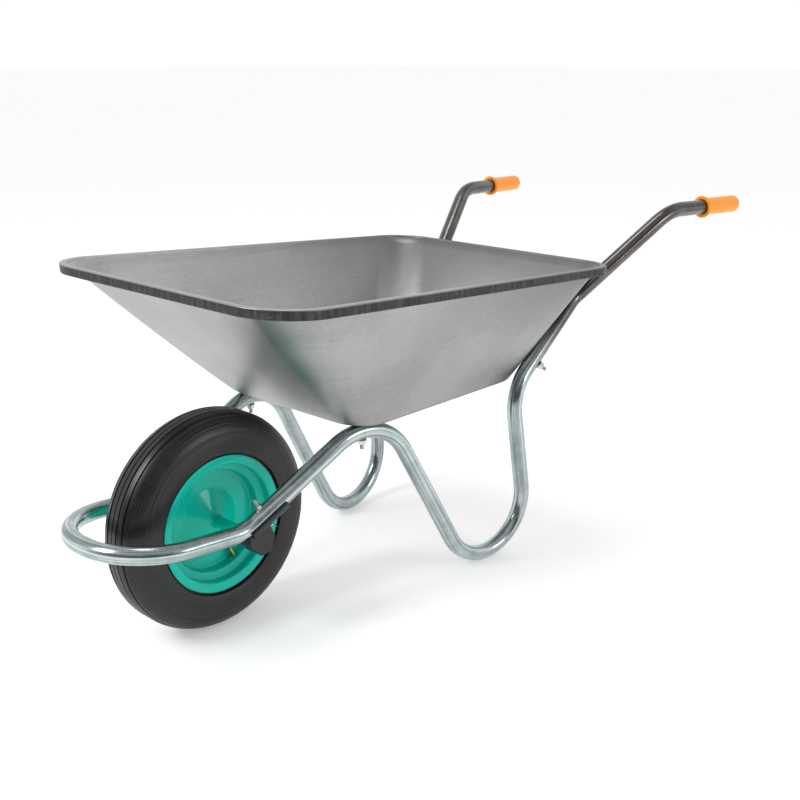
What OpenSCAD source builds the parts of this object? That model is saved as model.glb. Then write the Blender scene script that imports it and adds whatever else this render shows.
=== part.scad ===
// Single-wheel garden wheelbarrow: a pressed sheet tray bolted to one continuous bent tube,
// with a pneumatic wheel whose tube axle turns in two plastic blocks clamped under the tube.
// Units are millimetres. +X runs from the wheel to the handles, +Z is up and the floor is z = 0.
// +Y is the right-hand side of the person pushing. The origin is on the floor, halfway along.

/* [Part shown] */
// Which sub-part to draw, or "all" for the assembly

/* [Wheel] */
// Outside diameter of the tyre
tyre_d = 380; // [340:5:400]
// Widest part of the tyre, across its sidewalls
tyre_w = 93; // [84:1:100]
// Thickness of the sidewall
tyre_wall = 5; // [3:0.5:8]
// Thickness under the tread
tread_t = 8; // [5:0.5:12]
// Number of grooves running round the tread
groove_count = 5; // [1:2:7]
// Spacing between neighbouring grooves
groove_pitch = 11.5; // [8:0.5:13]
// Width of each groove
groove_w = 2.6; // [1:0.2:4]
// Depth of each groove
groove_depth = 2.8; // [1:0.2:4]
// Radius over the edge of the rim flange
flange_r = 119; // [112:0.5:124]
// Distance from the wheel's middle to the outside of the flange
flange_y = 41; // [36:0.5:43]
// Thickness of the pressed rim sheet
rim_t = 1.6; // [1.2:0.1:2.5]
// Radius of the seat that the tyre's bead sits on
seat_r = 103.4; // [100:0.2:106]
// Radius of the deep well between the two seats
well_r = 90; // [84:0.5:94]
// Radius where the flat web turns into the hub cone
cone_r = 54; // [40:1:64]
// How far the hub cone stands out from the wheel's middle
cone_y = 20; // [14:0.5:26]
// Length of the collar that grips the axle at the cone's tip
collar_len = 4; // [2:0.5:8]

/* [Valve] */
// Radius of the valve stem
valve_r = 3.9; // [3:0.1:5]
// Angle of the valve round the wheel, measured from the handle side
valve_angle = -63; // [-180:1:180]
// Distance of the valve from the wheel's middle
valve_y = 11; // [9:0.5:13]
// Radius that the valve reaches in to
valve_in_r = 58; // [50:1:70]
// Length of the dust cap
cap_len = 12; // [8:0.5:16]

/* [Axle and blocks] */
// Outside diameter of the tube axle
axle_d = 20; // [16:0.5:22]
// Wall thickness of the tube axle
axle_wall = 2.5; // [1.5:0.5:4]
// Radial running clearance between the axle and its blocks
axle_play = 0.05; // [0.02:0.01:0.1]
// End play of the axle in each block
axle_end_play = 1; // [0.5:0.1:2]
// Length of axle held in each block
block_grip = 19; // [14:0.5:22]
// Radius of the boss round the axle
boss_r = 18; // [16:0.5:20]
// How far the block's foot hangs below the axle
boss_drop = 30; // [24:1:34]
// Length of the saddle under the tube
saddle_len = 78; // [60:1:90]
// Thickness of the saddle
saddle_t = 5; // [3:0.5:7]
// Clearance between the saddle and the tube
saddle_gap = 0.15; // [0.05:0.05:0.4]
// Shank diameter of the bolt through the tube and the saddle
block_bolt_d = 6; // [5:1:8]
// Distance of that bolt from the elbow
block_bolt_at = 44; // [40:1:56]

/* [Frame tube] */
// Outside diameter of the tube
tube_d = 30; // [26:1:32]
// Wall thickness of the tube
tube_wall = 1.5; // [1.2:0.1:2.5]
// How much slimmer bending leaves the tube, on its radius
bend_squeeze = 0.2; // [0.2:0.05:0.4]
// Space between the tyre and the hoop in front of it
hoop_gap = 35; // [25:1:60]
// Half width between the hoop's sides, to the tube's middle
hoop_y = 117.5; // [112:0.5:130]
// Height of the hoop's middle over the floor
hoop_z = 219.5; // [200:0.5:240]
// Bend radius of the hoop's front
hoop_bend = 113; // [90:1:114]
// Position of the elbow's corner in front of the axle
elbow_x = -20; // [-30:1:-10]
// Height of the elbow's corner above the axle
elbow_up = 14; // [12:0.5:20]
// Bend radius of the elbow
elbow_bend = 88; // [70:1:110]
// Top of the arch under the tray, behind the axle
arch_x = 219; // [205:1:240]
// Bend radius of the arch
arch_bend = 107; // [90:1:115]
// Middle of the foot's bend, behind the axle
foot_x = 513; // [480:1:540]
// Bend radius of the foot
foot_bend = 99; // [80:1:110]
// Depth of the flat worn under each foot
foot_flat = 0.6; // [0.3:0.1:1]
// Bend radius at the top of the rear leg
knee_bend = 89; // [70:1:100]
// Distance from the rear tray bolt down to the top of the rear leg
knee_below = 80; // [70:1:100]
// Distance from the rear tray bolt up to where the tube turns out
turn_above = 165; // [140:1:180]
// How steeply the tube climbs past the tray's rear corner, in degrees
slope_up = 37.4; // [34:0.2:41]
// How far it leans inwards there, in degrees
slope_in = 3.1; // [0:0.1:6]
// Bend radius where the tube turns out
turn_bend = 95; // [60:1:110]
// Bend radius of the handle
handle_bend = 97; // [60:1:110]
// Distance from the tray's rear edge back to the handle's bend
handle_back = 193; // [150:1:240]
// Height of the handle's bend over the floor
handle_z = 634.4; // [600:0.5:700]
// Half width between the handle bends
handle_y = 270.6; // [240:0.5:300]
// Length of the handle behind its bend
handle_len = 222; // [180:1:260]
// Half width between the ends of the grips
grip_end_y = 294.6; // [270:0.5:320]
// Height of the grips' ends over the floor
grip_end_z = 630; // [600:0.5:700]

/* [Grips] */
// Length of each grip
grip_len = 115; // [90:1:140]
// Diameter of each grip
grip_d = 35; // [33:0.5:40]
// Diameter of the flange at the grip's front
grip_flange_d = 45; // [40:0.5:54]
// Thickness of that flange
grip_flange_t = 5; // [3:0.5:8]
// Thickness of the closed end
grip_end_t = 4; // [3:0.5:6]

/* [Tray] */
// Height of the tray's underside over the floor
tray_z = 339.5; // [320:0.5:360]
// Sheet thickness of the tray
tray_t = 1.2; // [0.8:0.1:2]
// Length of the tray over its rim
tray_len = 889; // [860:1:910]
// Distance from the axle forward to the front of the rim
tray_front = 99; // [90:1:110]
// Half width of the rim at the front
rim_y_front = 312; // [290:1:320]
// Half width of the rim at the rear
rim_y_rear = 286; // [275:1:305]
// Height of the rim's front edge over the floor
rim_z_front = 605; // [580:1:640]
// Height of the rim's rear edge over the floor
rim_z_rear = 551; // [535:1:600]
// Corner radius of the rim at the front
rim_corner_front = 95; // [60:1:110]
// Corner radius of the rim at the rear
rim_corner_rear = 80; // [60:1:110]
// Width of the lip folded outwards round the rim
lip_w = 12; // [9:0.5:16]
// Height of the lip's hanging edge
lip_h = 16; // [10:0.5:20]
// Distance from the axle back to the floor's front edge
floor_front = 182; // [170:1:190]
// Length of the tray's floor
floor_len = 456; // [440:1:470]
// Half width of the floor at the front
floor_y_front = 186; // [176:1:190]
// Half width of the floor at the rear
floor_y_rear = 176; // [170:1:185]
// Corner radius of the floor at the front
floor_corner_front = 62; // [40:1:80]
// Corner radius of the floor at the rear
floor_corner_rear = 80; // [60:1:90]
// Height of the rear bolt up the tray's corner, as a share of the tray's depth
rear_bolt_share = 0.2; // [0.15:0.01:0.3]
// Angle of the rear bolt round the tray's corner, from straight back
rear_bolt_turn = 53; // [45:1:60]

/* [Tray bolts] */
// Shank diameter of the tray bolts
tray_bolt_d = 8; // [6:1:8]
// Free thread left below each nut
thread_left = 9; // [4:0.5:12]
// Radial clearance of each bolt in its holes
bolt_play = 0.2; // [0.1:0.05:0.4]
// Gap left between faces that touch
face_gap = 0.05; // [0.02:0.01:0.1]

/* [Hidden] */
$fn = 64;
tyre_r = tyre_d / 2;
tube_r = tube_d / 2;
bore_r = tube_r - tube_wall;
// Radius of the tube where it is bent, and how far each straight runs on into its bend
bent_r = tube_r - bend_squeeze;
joint_lap = 2;
rim_front_x = -tray_front;
rim_rear_x = tray_len - tray_front;
floor_rear_x = floor_front + floor_len;
hoop_front_x = -tyre_r - hoop_gap - tube_r;
elbow_z = tyre_r + elbow_up;
// Radius of the bend between the tray's floor and its walls, and the flat given up for it
floor_fold = 14;
fold_r = floor_fold / tan(22.5);
corner_steps = 10;

// ---------- small geometry helpers ----------
function unit(v) = v / norm(v);
function cosine_of(a, b) = max(-1, min(1, unit(a) * unit(b)));
function turn_of(a, v, b) = acos(cosine_of(v - a, b - v));
function cut_of(a, v, b, r) = r * tan(turn_of(a, v, b) / 2);
// The part of w that is square to u, as a direction
function side_of(u, w) = unit(w - u * (u * w));
function flip_y(p) = [p[0], -p[1], p[2]];
function mix(a, b, t) = a + (b - a) * t;
function cross_2d(a, b) = a[0] * b[1] - a[1] * b[0];
function angle_2d(v) = atan2(v[1], v[0]);
function ray_2d(a) = [cos(a), sin(a)];
function meet(p, a, q, b) = p + ray_2d(a) * (cross_2d(q - p, ray_2d(b)) / cross_2d(ray_2d(a), ray_2d(b)));
function sized(x, p) = (x < 0 ? -1 : 1) * pow(abs(x), p);

// ---------- the tray's shape ----------
// One rounded corner of an outline, walked anticlockwise
function corner_points(a, v, b, r) =
    let (u = unit(v - a))
    let (w = unit(b - v))
    let (turn = acos(max(-1, min(1, u * w))))
    let (start = v - u * r * tan(turn / 2))
    let (inward = [-u[1], u[0]])
    let (middle = start + inward * r)
    [for (i = [0 : corner_steps])
        let (t = turn * i / corner_steps)
        middle + r * [-inward[0] * cos(t) + inward[1] * sin(t), -inward[0] * sin(t) - inward[1] * cos(t)]];

// A rounded outline from its front and rear edges, half widths and corner radii
function outline(x0, x1, y0, y1, r0, r1) =
    let (p = [[x1, -y1], [x1, y1], [x0, y0], [x0, -y0]])
    let (r = [r1, r1, r0, r0])
    [for (i = [0 : 3]) each corner_points(p[(i + 3) % 4], p[i], p[(i + 1) % 4], r[i])];

floor_shape = [floor_front, floor_rear_x, floor_y_front, floor_y_rear,
    floor_corner_front, floor_corner_rear];
wall_shape = [rim_front_x + lip_w, rim_rear_x - lip_w, rim_y_front - lip_w, rim_y_rear - lip_w,
    rim_corner_front - lip_w, rim_corner_rear - lip_w];
function rim_z(x) = mix(rim_z_front, rim_z_rear, (x - rim_front_x) / (rim_rear_x - rim_front_x));
function shape_at(h) = [for (i = [0 : 5]) mix(floor_shape[i], wall_shape[i], h)];

// One ring of the tray: h is 0 at the floor and 1 at the rim, out and up move it off the wall
function tray_ring(h, out, up) =
    let (s = shape_at(h))
    let (o = outline(s[0] - out, s[1] + out, s[2] + out, s[3] + out, s[4] + out, s[5] + out))
    [for (p = o) [p[0], p[1], tray_z + h * (rim_z(p[0]) - tray_z) + up]];

// A point on the outside of the tray's rear right corner
function corner_spot(h, turn) =
    let (s = shape_at(h))
    let (v = [s[1], s[3]])
    let (side_turn = acos(unit([s[0], s[2]] - v) * [0, 1]))
    let (middle = v + [-s[5], -s[5] * tan(side_turn / 2)])
    let (p = middle + s[5] * ray_2d(turn))
    [p[0], p[1], tray_z + h * (rim_z(p[0]) - tray_z)];

// ---------- the tube's path on the right-hand side ----------
hoop_corner = [hoop_front_x, hoop_y, hoop_z];
elbow = [elbow_x, hoop_y, elbow_z];

// Everything from the elbow to the top of the rear leg lies in one upright plane that splays outwards.
// The rear tray bolt fixes where the tube passes under the tray's corner.
bolt_spot = corner_spot(rear_bolt_share, rear_bolt_turn);
spot_round = corner_spot(rear_bolt_share, rear_bolt_turn + 1) - bolt_spot;
spot_up = corner_spot(rear_bolt_share + 0.01, rear_bolt_turn) - bolt_spot;
// Straight out of the tray at the rear bolt
spot_out = unit(cross(spot_round, spot_up));
// The handle tube climbs past that bolt and leans inwards; its slope is then squared up to the bolt.
slope_guess = [cos(slope_up) * cos(slope_in), -cos(slope_up) * sin(slope_in), sin(slope_up)];
slope = unit(slope_guess - spot_out * (slope_guess * spot_out));
slope_mid = bolt_spot + spot_out * (tube_r + face_gap);
knee = slope_mid - slope * knee_below;
turn_out = slope_mid + slope * turn_above;

// Distances along the splayed plane are longer than along X by this factor.
splay = (knee[1] - elbow[1]) / (knee[0] - elbow[0]);
stretch = sqrt(1 + splay * splay);
function in_plane(x, z) = [(x - elbow_x) * stretch, z];
function in_space(p) = [elbow_x + p[0] / stretch, hoop_y + splay * p[0] / stretch, p[1]];

// The tube runs over the arch's circle and under the foot's, along the straight lines that touch them.
elbow_flat = in_plane(elbow_x, elbow_z);
knee_flat = in_plane(knee[0], knee[2]);
arch_mid = in_plane(arch_x, tray_z - face_gap - bent_r - arch_bend);
foot_mid = in_plane(foot_x, foot_bend + bent_r - foot_flat);
rise_turn = angle_2d(arch_mid - elbow_flat) + asin(arch_bend / norm(arch_mid - elbow_flat));
fall_turn = angle_2d(foot_mid - arch_mid) - asin((arch_bend + foot_bend) / norm(foot_mid - arch_mid));
leg_turn = angle_2d(knee_flat - foot_mid) + asin(foot_bend / norm(knee_flat - foot_mid));
fall_start = arch_mid + arch_bend * ray_2d(fall_turn + 90);
arch = in_space(meet(elbow_flat, rise_turn, fall_start, fall_turn));
foot = in_space(meet(fall_start, fall_turn, knee_flat, leg_turn));
handle = [rim_rear_x + handle_back, handle_y, handle_z];
grip_end = [handle[0] + handle_len, grip_end_y, grip_end_z];
handle_dir = unit(grip_end - handle);
tube_end = grip_end - handle_dir * (grip_end_t + face_gap);
right_path = [hoop_corner, elbow, arch, foot, knee, turn_out, handle, tube_end];
right_bends = [hoop_bend, elbow_bend, arch_bend, foot_bend, knee_bend, turn_bend, handle_bend, 0];
tube_path = concat([for (i = [7 : -1 : 0]) flip_y(right_path[i])], right_path);
tube_bends = concat([for (i = [7 : -1 : 0]) right_bends[i]], right_bends);

// The whole part is moved so that the origin lies halfway along it.
overall_front_x = hoop_front_x - tube_r;
overall_rear_x = grip_end[0] + abs(handle_dir[2]) * grip_d / 2;
middle_x = (overall_front_x + overall_rear_x) / 2;

// ---------- fastener positions ----------
arch_top = in_space([arch_mid[0], arch_mid[1] + arch_bend]);
diagonal = unit(arch - elbow);
diagonal_up = side_of(diagonal, [0, 0, 1]);
block_bolt_mid = elbow + diagonal * block_bolt_at;
block_end_y = hoop_y - tube_r + 3;
axle_half = block_end_y - axle_end_play;

// Turns +Z to face along a direction, standing on a point
module stand_on(p, d)
{
    side = unit(cross(abs(d[2]) > 0.9 ? [1, 0, 0] : [0, 0, 1], d));
    other = cross(d, side);
    multmatrix([
        [side[0], other[0], d[0], p[0]],
        [side[1], other[1], d[1], p[1]],
        [side[2], other[2], d[2], p[2]],
        [0, 0, 0, 1]
    ])
        children();
}

// Puts a piece where it belongs along the part
module placed()
{
    translate([-middle_x, 0, 0])
        children();
}

// Leaves a piece on the right-hand side, or mirrors it to the left
module on_side(side)
{
    mirror([0, side < 0 ? 1 : 0, 0])
        children();
}

// A bolt's hole right through the tube
module drilling(p, d, bolt_d)
{
    stand_on(p - d * tube_d, d)
        cylinder(r = bolt_d / 2 + bolt_play, h = 2 * tube_d, $fn = 32);
}

// ---------- the bent tube ----------
module bend_piece(a, v, b, r, section)
{
    u = unit(v - a);
    w = unit(b - v);
    turn = turn_of(a, v, b);
    inward = side_of(u, w);
    axis = cross(u, inward);
    middle = v - u * cut_of(a, v, b, r) + inward * r;
    multmatrix([
        [-inward[0], u[0], axis[0], middle[0]],
        [-inward[1], u[1], axis[1], middle[1]],
        [-inward[2], u[2], axis[2], middle[2]],
        [0, 0, 0, 1]
    ])
        rotate_extrude(angle = turn, $fn = 96)
            translate([r, 0])
                circle(r = section, $fn = 48);
}

module straight_piece(p, d, from, to, section)
{
    stand_on(p + d * from, d)
        cylinder(r = section, h = to - from, $fn = 48);
}

// Length a bend takes up on each side of a corner of the path, less the lap of its straight
function taken(path, bends, i) = cut_of(path[i - 1], path[i], path[i + 1], bends[i]) - joint_lap;

// A run of tube through corner points, with a bend at each one
module tube_run(path, bends, section, past_ends)
{
    last = len(path) - 1;
    for (i = [1 : last - 1])
        bend_piece(path[i - 1], path[i], path[i + 1], bends[i], section - bend_squeeze);
    for (i = [0 : last - 1]) {
        d = unit(path[i + 1] - path[i]);
        from = i == 0 ? -past_ends : taken(path, bends, i);
        spare = i == last - 1 ? -past_ends : taken(path, bends, i + 1);
        straight_piece(path[i], d, from, norm(path[i + 1] - path[i]) - spare, section);
    }
}

module frame_tube()
{
    color([0.72, 0.74, 0.76])
        placed()
            difference() {
                tube_run(tube_path, tube_bends, tube_r, 0);
                tube_run(tube_path, tube_bends, bore_r, 1);
                for (side = [-1, 1])
                    on_side(side) {
                        drilling(arch_top, [0, 0, 1], tray_bolt_d);
                        drilling(slope_mid, spot_out, tray_bolt_d);
                        drilling(block_bolt_mid, diagonal_up, block_bolt_d);
                    }
                translate([floor_front, -rim_y_front, -2 * tube_d])
                    cube([tray_len, 2 * rim_y_front, 2 * tube_d]);
            }
}

// ---------- the wheel ----------
// Turns a profile drawn as radius and distance from the wheel's middle into a ring on the axle
module round_axle()
{
    placed()
        translate([0, 0, tyre_r])
            rotate([-90, 0, 0])
                rotate_extrude($fn = 128)
                    children();
}

// A flat strip of even thickness along a line of points
function strip(p, t) =
    let (last = len(p) - 1)
    let (d = [for (i = [0 : last - 1]) unit(p[i + 1] - p[i])])
    let (n = [for (i = [0 : last])
        let (a = d[max(i - 1, 0)])
        let (b = d[min(i, last - 1)])
        let (m = unit([-a[1] - b[1], a[0] + b[0]]))
        m / max(0.5, m * [-a[1], a[0]])])
    concat([for (i = [0 : last]) p[i] + n[i] * t / 2], [for (i = [last : -1 : 0]) p[i] - n[i] * t / 2]);

// A line of points with its inner corners rounded
function rounded_line(p, r) =
    [for (i = [0 : len(p) - 1])
        each i == 0 || i == len(p) - 1 ? [p[i]] :
            let (u = unit(p[i] - p[i - 1]))
            let (w = unit(p[i + 1] - p[i]))
            let (turn = acos(max(-1, min(1, u * w))))
            let (way = cross_2d(u, w) < 0 ? -1 : 1)
            let (start = p[i] - u * r[i] * tan(turn / 2))
            let (inward = [-u[1], u[0]] * way)
            [for (k = [0 : 4])
                let (t = turn * k / 4)
                start + inward * r[i] * (1 - cos(t)) + u * r[i] * sin(t)]];

// The tyre's section: middle height of its widest part, then how far it reaches out and in from there
tyre_mid_r = tyre_r - 46;
tyre_reach_out = tyre_r - tyre_mid_r;
tyre_reach_in = 56;
bead_r = seat_r + rim_t / 2 + 0.3;
// Below 1 the section is squarer than an ellipse.
fullness = 0.87;
function tyre_spot(a, wall, tread) =
    [tyre_mid_r + (a > 0 ? tyre_reach_out - tread : tyre_reach_in - wall) * sized(sin(a), fullness),
        (tyre_w / 2 - wall) * sized(cos(a), fullness)];
// The crown is a plain cylinder in the middle, cut from a slightly taller curve.
crown_rise = 1.2;
function under_crown(p) = [min(p[0], tyre_r), p[1]];
// The side of the tyre stays clear of the rim's flange.
beside_flange = flange_y - rim_t - 2.2;
function inside_flange(p, wall) = [p[0], p[0] < flange_r + 4 ? min(p[1], beside_flange - wall) : p[1]];
bead_corner = [[bead_r, 23], [bead_r, beside_flange - 3], [bead_r + 3, beside_flange]];
tyre_half = [for (a = [-36 : 7 : 90]) inside_flange(under_crown(tyre_spot(a, 0, -crown_rise)), 0)];
rim_wall = 4;
tyre_hollow = [for (a = [-34 : 7.75 : 90]) inside_flange(tyre_spot(a, tyre_wall, tread_t), rim_wall)];

// Both halves of a symmetric outline drawn for one side
function both_halves(p) = concat(p, [for (i = [len(p) - 1 : -1 : 0]) [p[i][0], -p[i][1]]]);

module tyre()
{
    color([0.1, 0.1, 0.1])
        round_axle()
            difference() {
                polygon(both_halves(concat(bead_corner, tyre_half)));
                polygon(both_halves(concat([[bead_r - 5, 20], [bead_r + 7, 22]], tyre_hollow)));
                for (i = [0 : groove_count - 1])
                    translate([groove_floor(i), (i - (groove_count - 1) / 2) * groove_pitch - groove_w / 2])
                        square([4 * groove_depth, groove_w]);
            }
}

// Radius of a groove's floor, following the rounded crown
function groove_floor(i) =
    let (y = abs(i - (groove_count - 1) / 2) * groove_pitch / (tyre_w / 2))
    let (bulge = pow(1 - pow(y, 2 / fullness), fullness / 2))
    min(tyre_r, tyre_mid_r + (tyre_reach_out + crown_rise) * bulge) - groove_depth;

// The inner tube lies just inside the tyre's hollow, starting at this angle round its section.
tube_room = 1.5;
tube_from = -27;
rubber_t = 2;
tube_inner_edge = tyre_spot(tube_from, tyre_wall + tube_room, 0)[0];
function tube_spot(a, inset) = inside_flange(tyre_spot(a, tyre_wall + inset, tread_t + inset), rim_wall + inset);

module inner_tube()
{
    outer = [for (a = [tube_from : 9 : 90]) tube_spot(a, tube_room)];
    inner = [for (a = [tube_from + 4 : 9 : 90]) tube_spot(a, tube_room + rubber_t)];
    color([0.16, 0.16, 0.17])
        round_axle()
            difference() {
                polygon(both_halves(outer));
                polygon(both_halves(inner));
            }
}

// The pressed half of the rim, from the collar on the axle out to the flange that holds the tyre
web_y = rim_t / 2 + 0.05;
rim_line = rounded_line([
        [axle_d / 2 + face_gap + rim_t / 2, cone_y + collar_len],
        [axle_d / 2 + face_gap + rim_t / 2, cone_y],
        [cone_r, web_y],
        [well_r, web_y],
        [well_r, cone_y],
        [seat_r, cone_y + 3],
        [seat_r, flange_y - rim_t - 1],
        [flange_r, flange_y - rim_t / 2]
    ], [0, 2, 14, 5, 3, 3, 3, 0]);

module rim_half()
{
    round_axle()
        polygon(strip(rim_line, rim_t));
}

module rim_right()
{
    color([0, 0.6, 0.55])
        rim_half();
}

module rim_left()
{
    color([0, 0.6, 0.55])
        difference() {
            on_side(-1)
                rim_half();
            valve_rod(valve_r + 0.4, well_r - 4, well_r + 4);
        }
}

// A round rod pointing from the rim towards the axle, between two distances from the axle
module valve_rod(r, from, to)
{
    placed()
        translate([0, -valve_y, tyre_r])
            rotate([0, 90 - valve_angle, 0])
                translate([0, 0, from])
                    cylinder(r = r, h = to - from, $fn = 32);
}

module valve_stem()
{
    color([0.75, 0.62, 0.35])
        valve_rod(valve_r, valve_in_r, tube_inner_edge - 0.3);
}

module valve_cap()
{
    color([0.1, 0.1, 0.1])
        difference() {
            valve_rod(valve_r + 1.4, valve_in_r - 2.5, valve_in_r - 2.5 + cap_len);
            valve_rod(valve_r + 0.05, valve_in_r - 0.05, valve_in_r + cap_len);
        }
}

module axle()
{
    color([0, 0.55, 0.5])
        placed()
            translate([0, -axle_half, tyre_r])
                rotate([-90, 0, 0])
                    difference() {
                        cylinder(r = axle_d / 2, h = 2 * axle_half);
                        translate([0, 0, -1])
                            cylinder(r = axle_d / 2 - axle_wall, h = 2 * axle_half + 2);
                    }
}

// ---------- the plastic blocks that carry the axle ----------
saddle_r = tube_r + saddle_gap + saddle_t;
block_near_y = block_end_y - block_grip;
block_far_y = hoop_y + tube_r - 1;
bolt_head_room = saddle_r + 0.8;
// Outline of the rib that stiffens the boss, from the axle's middle
foot_outline = [
    [-boss_r + 3, -6], [4, -boss_drop], [24, -boss_drop + 2],
    [40, 12], [28, 22], [0, 12]
];

module axle_block_right()
{
    color([0.12, 0.12, 0.12])
        placed()
            difference() {
                union() {
                    // Half shell under the tube
                    intersection() {
                        straight_piece(elbow, diagonal, 6, 6 + saddle_len, saddle_r);
                        stand_on(elbow - diagonal_up * (saddle_r + 1), diagonal_up)
                            cylinder(r = 2 * saddle_len, h = saddle_r - 1, $fn = 32);
                    }
                    // Boss round the axle
                    translate([0, block_near_y, tyre_r])
                        rotate([-90, 0, 0])
                            cylinder(r = boss_r, h = block_far_y - block_near_y);
                    // Foot that stiffens the boss below the tube
                    translate([0, block_far_y, tyre_r])
                        rotate([90, 0, 0])
                            linear_extrude(height = block_far_y - block_near_y - 6)
                                polygon(foot_outline);
                }
                translate([0, block_near_y - 1, tyre_r])
                    rotate([-90, 0, 0])
                        cylinder(r = axle_d / 2 + axle_play, h = block_grip + 1);
                tube_run(right_path, right_bends, tube_r + saddle_gap, 0);
                drilling(block_bolt_mid, diagonal_up, block_bolt_d);
                stand_on(block_bolt_mid - diagonal_up * (bolt_head_room + 60), diagonal_up)
                    cylinder(r = block_bolt_d + 2.5, h = 60, $fn = 32);
            }
}

module axle_block_left()
{
    on_side(-1)
        axle_block_right();
}

// ---------- fasteners ----------
// A bolt with a low round head, standing on its nut end
module round_head_bolt(d, shank, head_r, head_h)
{
    cylinder(r = d / 2, h = shank, $fn = 32);
    translate([0, 0, shank])
        cylinder(r1 = head_r, r2 = head_r * 0.55, h = head_h, $fn = 48);
}

module hex_nut(d, h)
{
    difference() {
        cylinder(r = d * 0.94, h = h, $fn = 6);
        translate([0, 0, -1])
            cylinder(r = d / 2 + 0.05, h = h + 2, $fn = 32);
    }
}

module washer(d, h)
{
    difference() {
        cylinder(r = d * 1.05, h = h, $fn = 48);
        translate([0, 0, -1])
            cylinder(r = d / 2 + bolt_play, h = h + 2, $fn = 32);
    }
}

washer_t = 1.6;
nut_t = tray_bolt_d * 0.8;
head_h = 4;
block_nut_t = block_bolt_d * 0.8;
block_thread_left = 13;
// From the far side of a block bolt's head to the tube's middle
block_head_drop = bolt_head_room + head_h + face_gap;
// The front bolts pass through a bend of the tube and the rear ones through a straight.
function half_tube(rear) = rear ? tube_r : bent_r;
washer_r = tray_bolt_d * 1.05;
// A flat washer inside a bend rests on its two edges, a little below the tube.
function under_tube(rear) =
    face_gap + (rear ? tube_r : arch_bend - sqrt(pow(arch_bend - bent_r, 2) - pow(washer_r, 2)));
function tray_bolt_below(rear) = under_tube(rear) + washer_t + face_gap + nut_t + thread_left;
// Steel between the tube and a bolt's head: the rear bolts go through the tray's corner at a slant.
function tray_grip(rear) = tray_t * (rear ? 1.9 : 1) + 3 * face_gap;

// Puts a tray fastener on its bolt's line, upright at the front and square to the tray's corner at the rear
module on_tray_bolt(rear, side, along)
{
    toward = rear ? -spot_out : [0, 0, 1];
    placed()
        on_side(side)
            stand_on((rear ? slope_mid : arch_top) + toward * along, toward)
                children();
}

module tray_bolt(rear, side)
{
    color([0.8, 0.8, 0.82])
        on_tray_bolt(rear, side, -tray_bolt_below(rear)) {
            shank = tray_bolt_below(rear) + half_tube(rear) + tray_grip(rear);
            round_head_bolt(tray_bolt_d, shank, tray_bolt_d, head_h);
        }
}

module tray_washer(rear, side)
{
    color([0.78, 0.78, 0.8])
        on_tray_bolt(rear, side, -under_tube(rear) - washer_t)
            washer(tray_bolt_d, washer_t);
}

module tray_nut(rear, side)
{
    color([0.78, 0.78, 0.8])
        on_tray_bolt(rear, side, -tray_bolt_below(rear) + thread_left)
            hex_nut(tray_bolt_d, nut_t);
}

module on_block_bolt(side, along)
{
    placed()
        on_side(side)
            stand_on(block_bolt_mid + diagonal_up * along, diagonal_up)
                children();
}

// The block's bolt stands head down, with its nut on top of the tube.
module block_bolt(side)
{
    color([0.8, 0.8, 0.82])
        on_block_bolt(side, -block_head_drop) {
            above = tube_r + washer_t + block_nut_t + block_thread_left;
            cylinder(r = block_bolt_d, h = head_h, $fn = 6);
            cylinder(r = block_bolt_d / 2, h = block_head_drop + above, $fn = 32);
        }
}

module block_washer(side)
{
    color([0.78, 0.78, 0.8])
        on_block_bolt(side, tube_r + face_gap)
            washer(block_bolt_d, washer_t);
}

module block_nut(side)
{
    color([0.78, 0.78, 0.8])
        on_block_bolt(side, tube_r + 2 * face_gap + washer_t)
            hex_nut(block_bolt_d, block_nut_t);
}

module bolt_front_left() tray_bolt(false, -1);
module bolt_front_right() tray_bolt(false, 1);
module bolt_rear_left() tray_bolt(true, -1);
module bolt_rear_right() tray_bolt(true, 1);
module washer_front_left() tray_washer(false, -1);
module washer_front_right() tray_washer(false, 1);
module washer_rear_left() tray_washer(true, -1);
module washer_rear_right() tray_washer(true, 1);
module nut_front_left() tray_nut(false, -1);
module nut_front_right() tray_nut(false, 1);
module nut_rear_left() tray_nut(true, -1);
module nut_rear_right() tray_nut(true, 1);
module block_bolt_left() block_bolt(-1);
module block_bolt_right() block_bolt(1);
module block_washer_left() block_washer(-1);
module block_washer_right() block_washer(1);
module block_nut_left() block_nut(-1);
module block_nut_right() block_nut(1);

// ---------- grips ----------
module grip_right()
{
    color([0.98, 0.6, 0.1])
        placed()
            stand_on(grip_end, -handle_dir)
                difference() {
                    union() {
                        rotate_extrude()
                            union() {
                                translate([0, 4])
                                    square([grip_d / 2, grip_len - 4]);
                                square([grip_d / 2 - 4, 8]);
                                translate([grip_d / 2 - 4, 4])
                                    circle(r = 4);
                            }
                        translate([0, 0, grip_len - grip_flange_t])
                            cylinder(r = grip_flange_d / 2, h = grip_flange_t);
                    }
                    translate([0, 0, grip_end_t])
                        cylinder(r = tube_r + 0.03, h = grip_len);
                }
}

module grip_left()
{
    on_side(-1)
        grip_right();
}

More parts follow.
